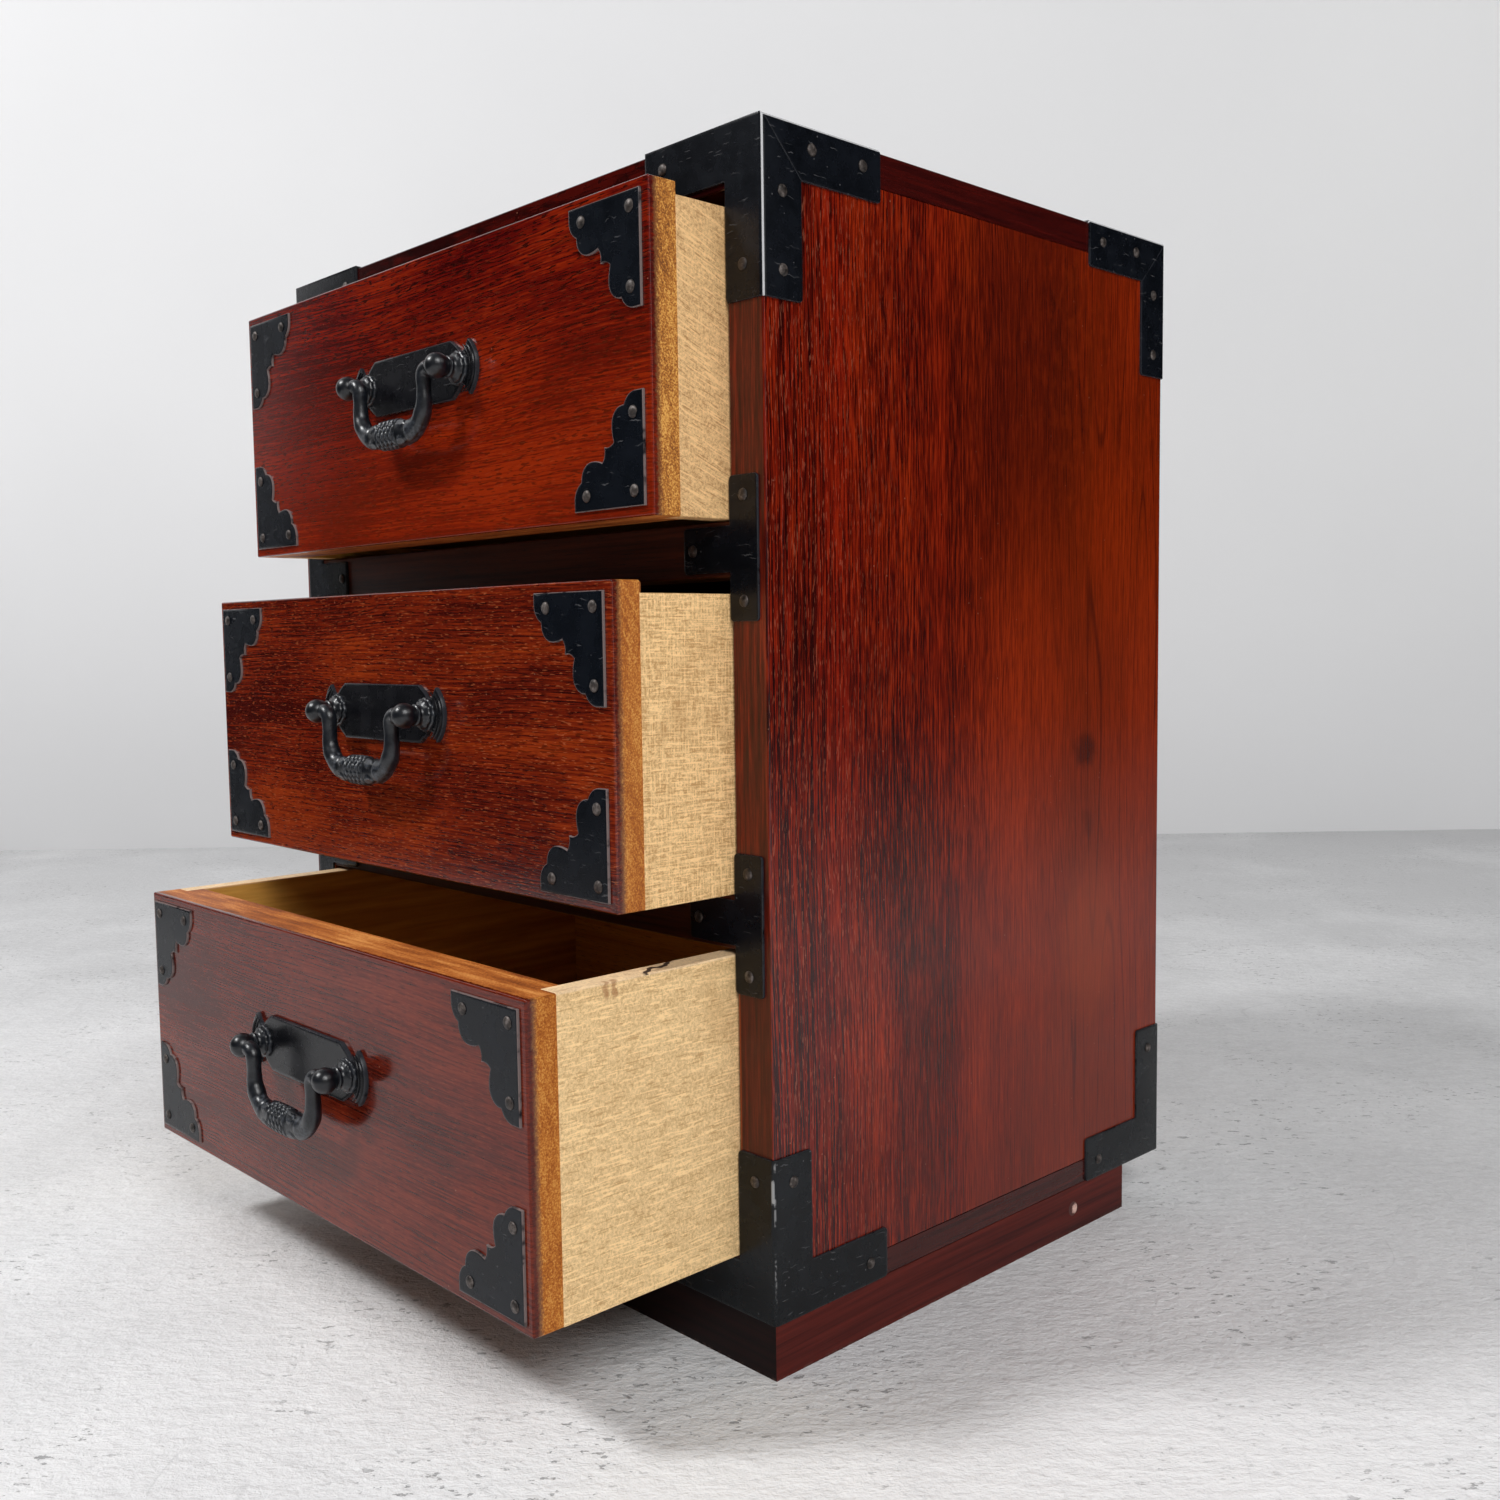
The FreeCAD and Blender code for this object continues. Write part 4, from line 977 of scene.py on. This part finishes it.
# Seed, light and dark tone, share of threads, slant of the grain, and whether it is cracked.
BOX_LOOKS = {
    "upper": (3, (214, 174, 122), (176, 132, 84), 0, 0.4),
    "middle": (6, (224, 186, 132), (192, 148, 94), 0.34),
    "lower": (9, (226, 192, 140), (196, 156, 104), 0, 0, True),
}
top_iron = plate_finish("black_plate_iron", (8, 10, 14), (18, 21, 27), (70, 72, 78), 0.3, 0.24, 0.25)
low_iron = plate_finish("black_low_plate_iron", (10, 12, 14), (20, 24, 28), (70, 72, 76), 0.35, 0.24,
                        rubbed_and_highlight_share=0.3, scarred_and_highlit=0.8)
scallop_iron = plate_finish("black_scallop_iron", (7, 10, 15), (15, 19, 26), (168, 148, 144), 0.45, 0.16)
handle_iron = plate_finish("black_handle_plate_iron", (8, 9, 12), (22, 22, 26), (96, 100, 108), 0.16, 0.24)
nail_iron = bare_metal_finish("grey_brown_nail_iron", 1.6, 0.42, 0.08, 0.35,
                              (0.35, 30, 26, 24), (0.52, 66, 58, 54), (0.7, 112, 104, 100))
cast_iron = handle_finish()
heads = nail_tree()

corner_plates("top", top_iron)
corner_plates("bottom", low_iron)
rail_plates(top_iron)
nails("case_domed_nails", case_nail_spots(), heads, nail_iron, "case", "case_nails", 1)
coat(nail_iron, "back_panel_nails")
for number, name in enumerate(DRAWERS):
    coat(front_finish(f"lacquered_{name}_front", name, *FRONT_LOOKS[name]), f"drawer_{name}_front")
    coat(box_side_finish(f"{name}_box_side_wood", *BOX_LOOKS[name]),
         f"drawer_{name}_side_right", f"drawer_{name}_side_left")
    coat(golden_box_wood, f"drawer_{name}_back")
    low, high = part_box(f"drawer_{name}_bottom")
    coat(plain_wood_finish(f"{name}_box_floor_wood", "x", "y", 15 + number, *GOLDEN, 0.5,
                           shade_below=(low[2] + high[2]) / 2 / MM), f"drawer_{name}_bottom")
    scalloped_plates(name, scallop_iron)
    nails(f"{name}_front_nails", front_nail_spots(name), heads, nail_iron, f"drawer_{name}",
          f"drawer_{name}_nails", 10 + number)
    handle_plate(name, handle_iron)
    handle_posts(name, cast_iron)
    bail(name, cast_iron)


# ---- Floor, wall, lamps and camera ----

# In metres. The wall runs at a slant, through a point behind the chest.
FLOOR_REACH, WALL_REACH, WALL_HIGH = 4, 3, 3
WALL_POINT = Vector((-0.699, 0.781, 0))
RUN_X, RUN_Y = 0.685, 0.728


def stage_sheet(name, corners, finish):
    data = bpy.data.meshes.new(name)
    data.from_pydata(corners, [], [tuple(range(len(corners)))])
    data.materials.append(finish)
    sheet = new_object(name, data)
    return sheet


def floor_finish():
    """Pale painted screed, a little uneven, chipped here and there."""
    floor = Finish("pale_floor")
    along = floor.x * RUN_X + floor.y * RUN_Y
    away = floor.y * RUN_X - floor.x * RUN_Y
    cloud = floor.cloud(170, 4, 0.6)
    grit = floor.cloud(2, 4, 0.7)
    bumps = floor.cloud(1, 5, 0.7, (along / 8, away / 5, 0))
    # Painted light falloff: the floor is lighter near the front and darker towards the wall.
    tone = (0.5 + (cloud - 0.5) * 0.6 + (grit - 0.5) * 0.35 + (bumps - 0.5) * 0.3
            + away.rise(0, -500) * 0.12 - away.rise(-250, 800) * 0.3)
    floor.colour = floor.ramp(tone, (0.2, 200, 200, 201), (0.5, 232, 232, 233), (0.8, 252, 252, 252))
    worn = floor.cloud(90, 3, 0.6).rise(0.44, 0.6)
    chips = floor.cloud(1, 3, 0.7, (along / 6, away / 3, 3)).rise(0.61, 0.635) * worn
    hairlines = abs(floor.cloud(140) - 0.5).rise(0.0022, 0) * floor.cloud(60).rise(0.54, 0.6)
    marks = (chips * 0.6).most(floor.specks(15, 0.6, 0.25) * 0.45).most(hairlines * 0.12)
    floor.lay(marks, 96, 96, 98)
    return floor.surface(0.55, bumps * 1.6 + grit * 0.35 - chips * 0.2, 1, 0.3)


def wall_finish():
    wall = Finish("pale_wall")
    along = wall.x * RUN_X + wall.y * RUN_Y
    # Painted light: the wall is lighter upwards and along its run towards +X, as light falls on it.
    tone = wall.cloud(400) * 0.2 + wall.z.rise(-100, 500) * 0.3 + along.rise(0, 1400) * 0.4
    wall.colour = wall.ramp(tone, (0.1, 216, 216, 217), (0.4, 235, 235, 236), (0.8, 254, 254, 254))
    return wall.surface(0.8, shine=0.1)


def dark_card(name, azimuth, half_spread, distance, height, foot, opening=None):
    """A black studio flag that only shows in gloss. It stands at an azimuth from +X towards +Y.
    It thins out below foot, and in an opening: two places along it and two heights in millimetres."""
    finish = Finish(name)
    turn, spread = radians(azimuth), radians(half_spread)
    cover = finish.z.rise(-0.2 * foot, foot)
    if opening:
        along = finish.y * cos(turn) - finish.x * sin(turn)
        start, end, low, high = opening
        cover = cover * (1 - along.rise(end, start) * finish.z.rise(low, high))
    finish.colour = paint(8, 8, 9)
    finish.surface(0.9, shine=0, Alpha=cover)
    reach = distance / cos(spread)
    corners = [(reach * cos(turn + side * spread), reach * sin(turn + side * spread), level)
               for side, level in ((-1, 0), (1, 0), (1, height), (-1, height))]
    card = stage_sheet(name, corners, finish.material)
    card.visible_camera = card.visible_diffuse = card.visible_shadow = card.visible_transmission = False


def soft_lamp(name, place, target, size, power):
    lamp = bpy.data.lights.new(name, "AREA")
    lamp.shape = "RECTANGLE"
    lamp.size, lamp.size_y = size
    lamp.energy = power
    holder = new_object(name, lamp)
    holder.location = place
    holder.rotation_euler = (Vector(target) - Vector(place)).to_track_quat("-Z", "Y").to_euler()


stage_sheet("floor", [(x * FLOOR_REACH, y * FLOOR_REACH, 0) for x, y in ((-1, -1), (1, -1), (1, 1), (-1, 1))],
            floor_finish())
wall_run = Vector((RUN_X, RUN_Y, 0)) * WALL_REACH
wall_foot = [WALL_POINT - wall_run, WALL_POINT + wall_run]
stage_sheet("wall", wall_foot + [point + UP * WALL_HIGH for point in reversed(wall_foot)], wall_finish())
dark_card("flag_front_left", -120, 40, 0.75, 1.6, 20, (-600, -400, 280, 420))
dark_card("flag_right_back", 56, 30, 0.75, 1.6, 330)

soft_lamp("key", (-1, -1.45, 1.95), (0, 0, 0.15), (0.4, 0.4), 42)
soft_lamp("fill", (1.5, -0.6, 1.45), (0, 0.1, 0.15), (0.9, 0.9), 24.5)
soft_lamp("edge_strip", (0.95, 0.22, 0.35), (0.13, 0, 0.2), (0.22, 0.7), 0.8)

world = bpy.data.worlds.new("studio")
world.use_nodes = True
background = world.node_tree.nodes["Background"].inputs
background["Color"].default_value = (*paint(206, 206, 207), 1)
background["Strength"].default_value = 0.22
bpy.context.scene.world = world

camera_data = bpy.data.cameras.new("camera")
camera_data.lens, camera_data.sensor_width = 35.1703, 36
camera_data.clip_start = 0.01
camera = new_object("camera", camera_data)
camera.location = (0.429855, -0.297448, 0.217405)
camera.rotation_mode = "QUATERNION"
camera.rotation_quaternion = (0.676748, 0.622906, 0.271108, 0.283727)
bpy.context.scene.camera = camera
bpy.context.scene.view_settings.view_transform = "Standard"
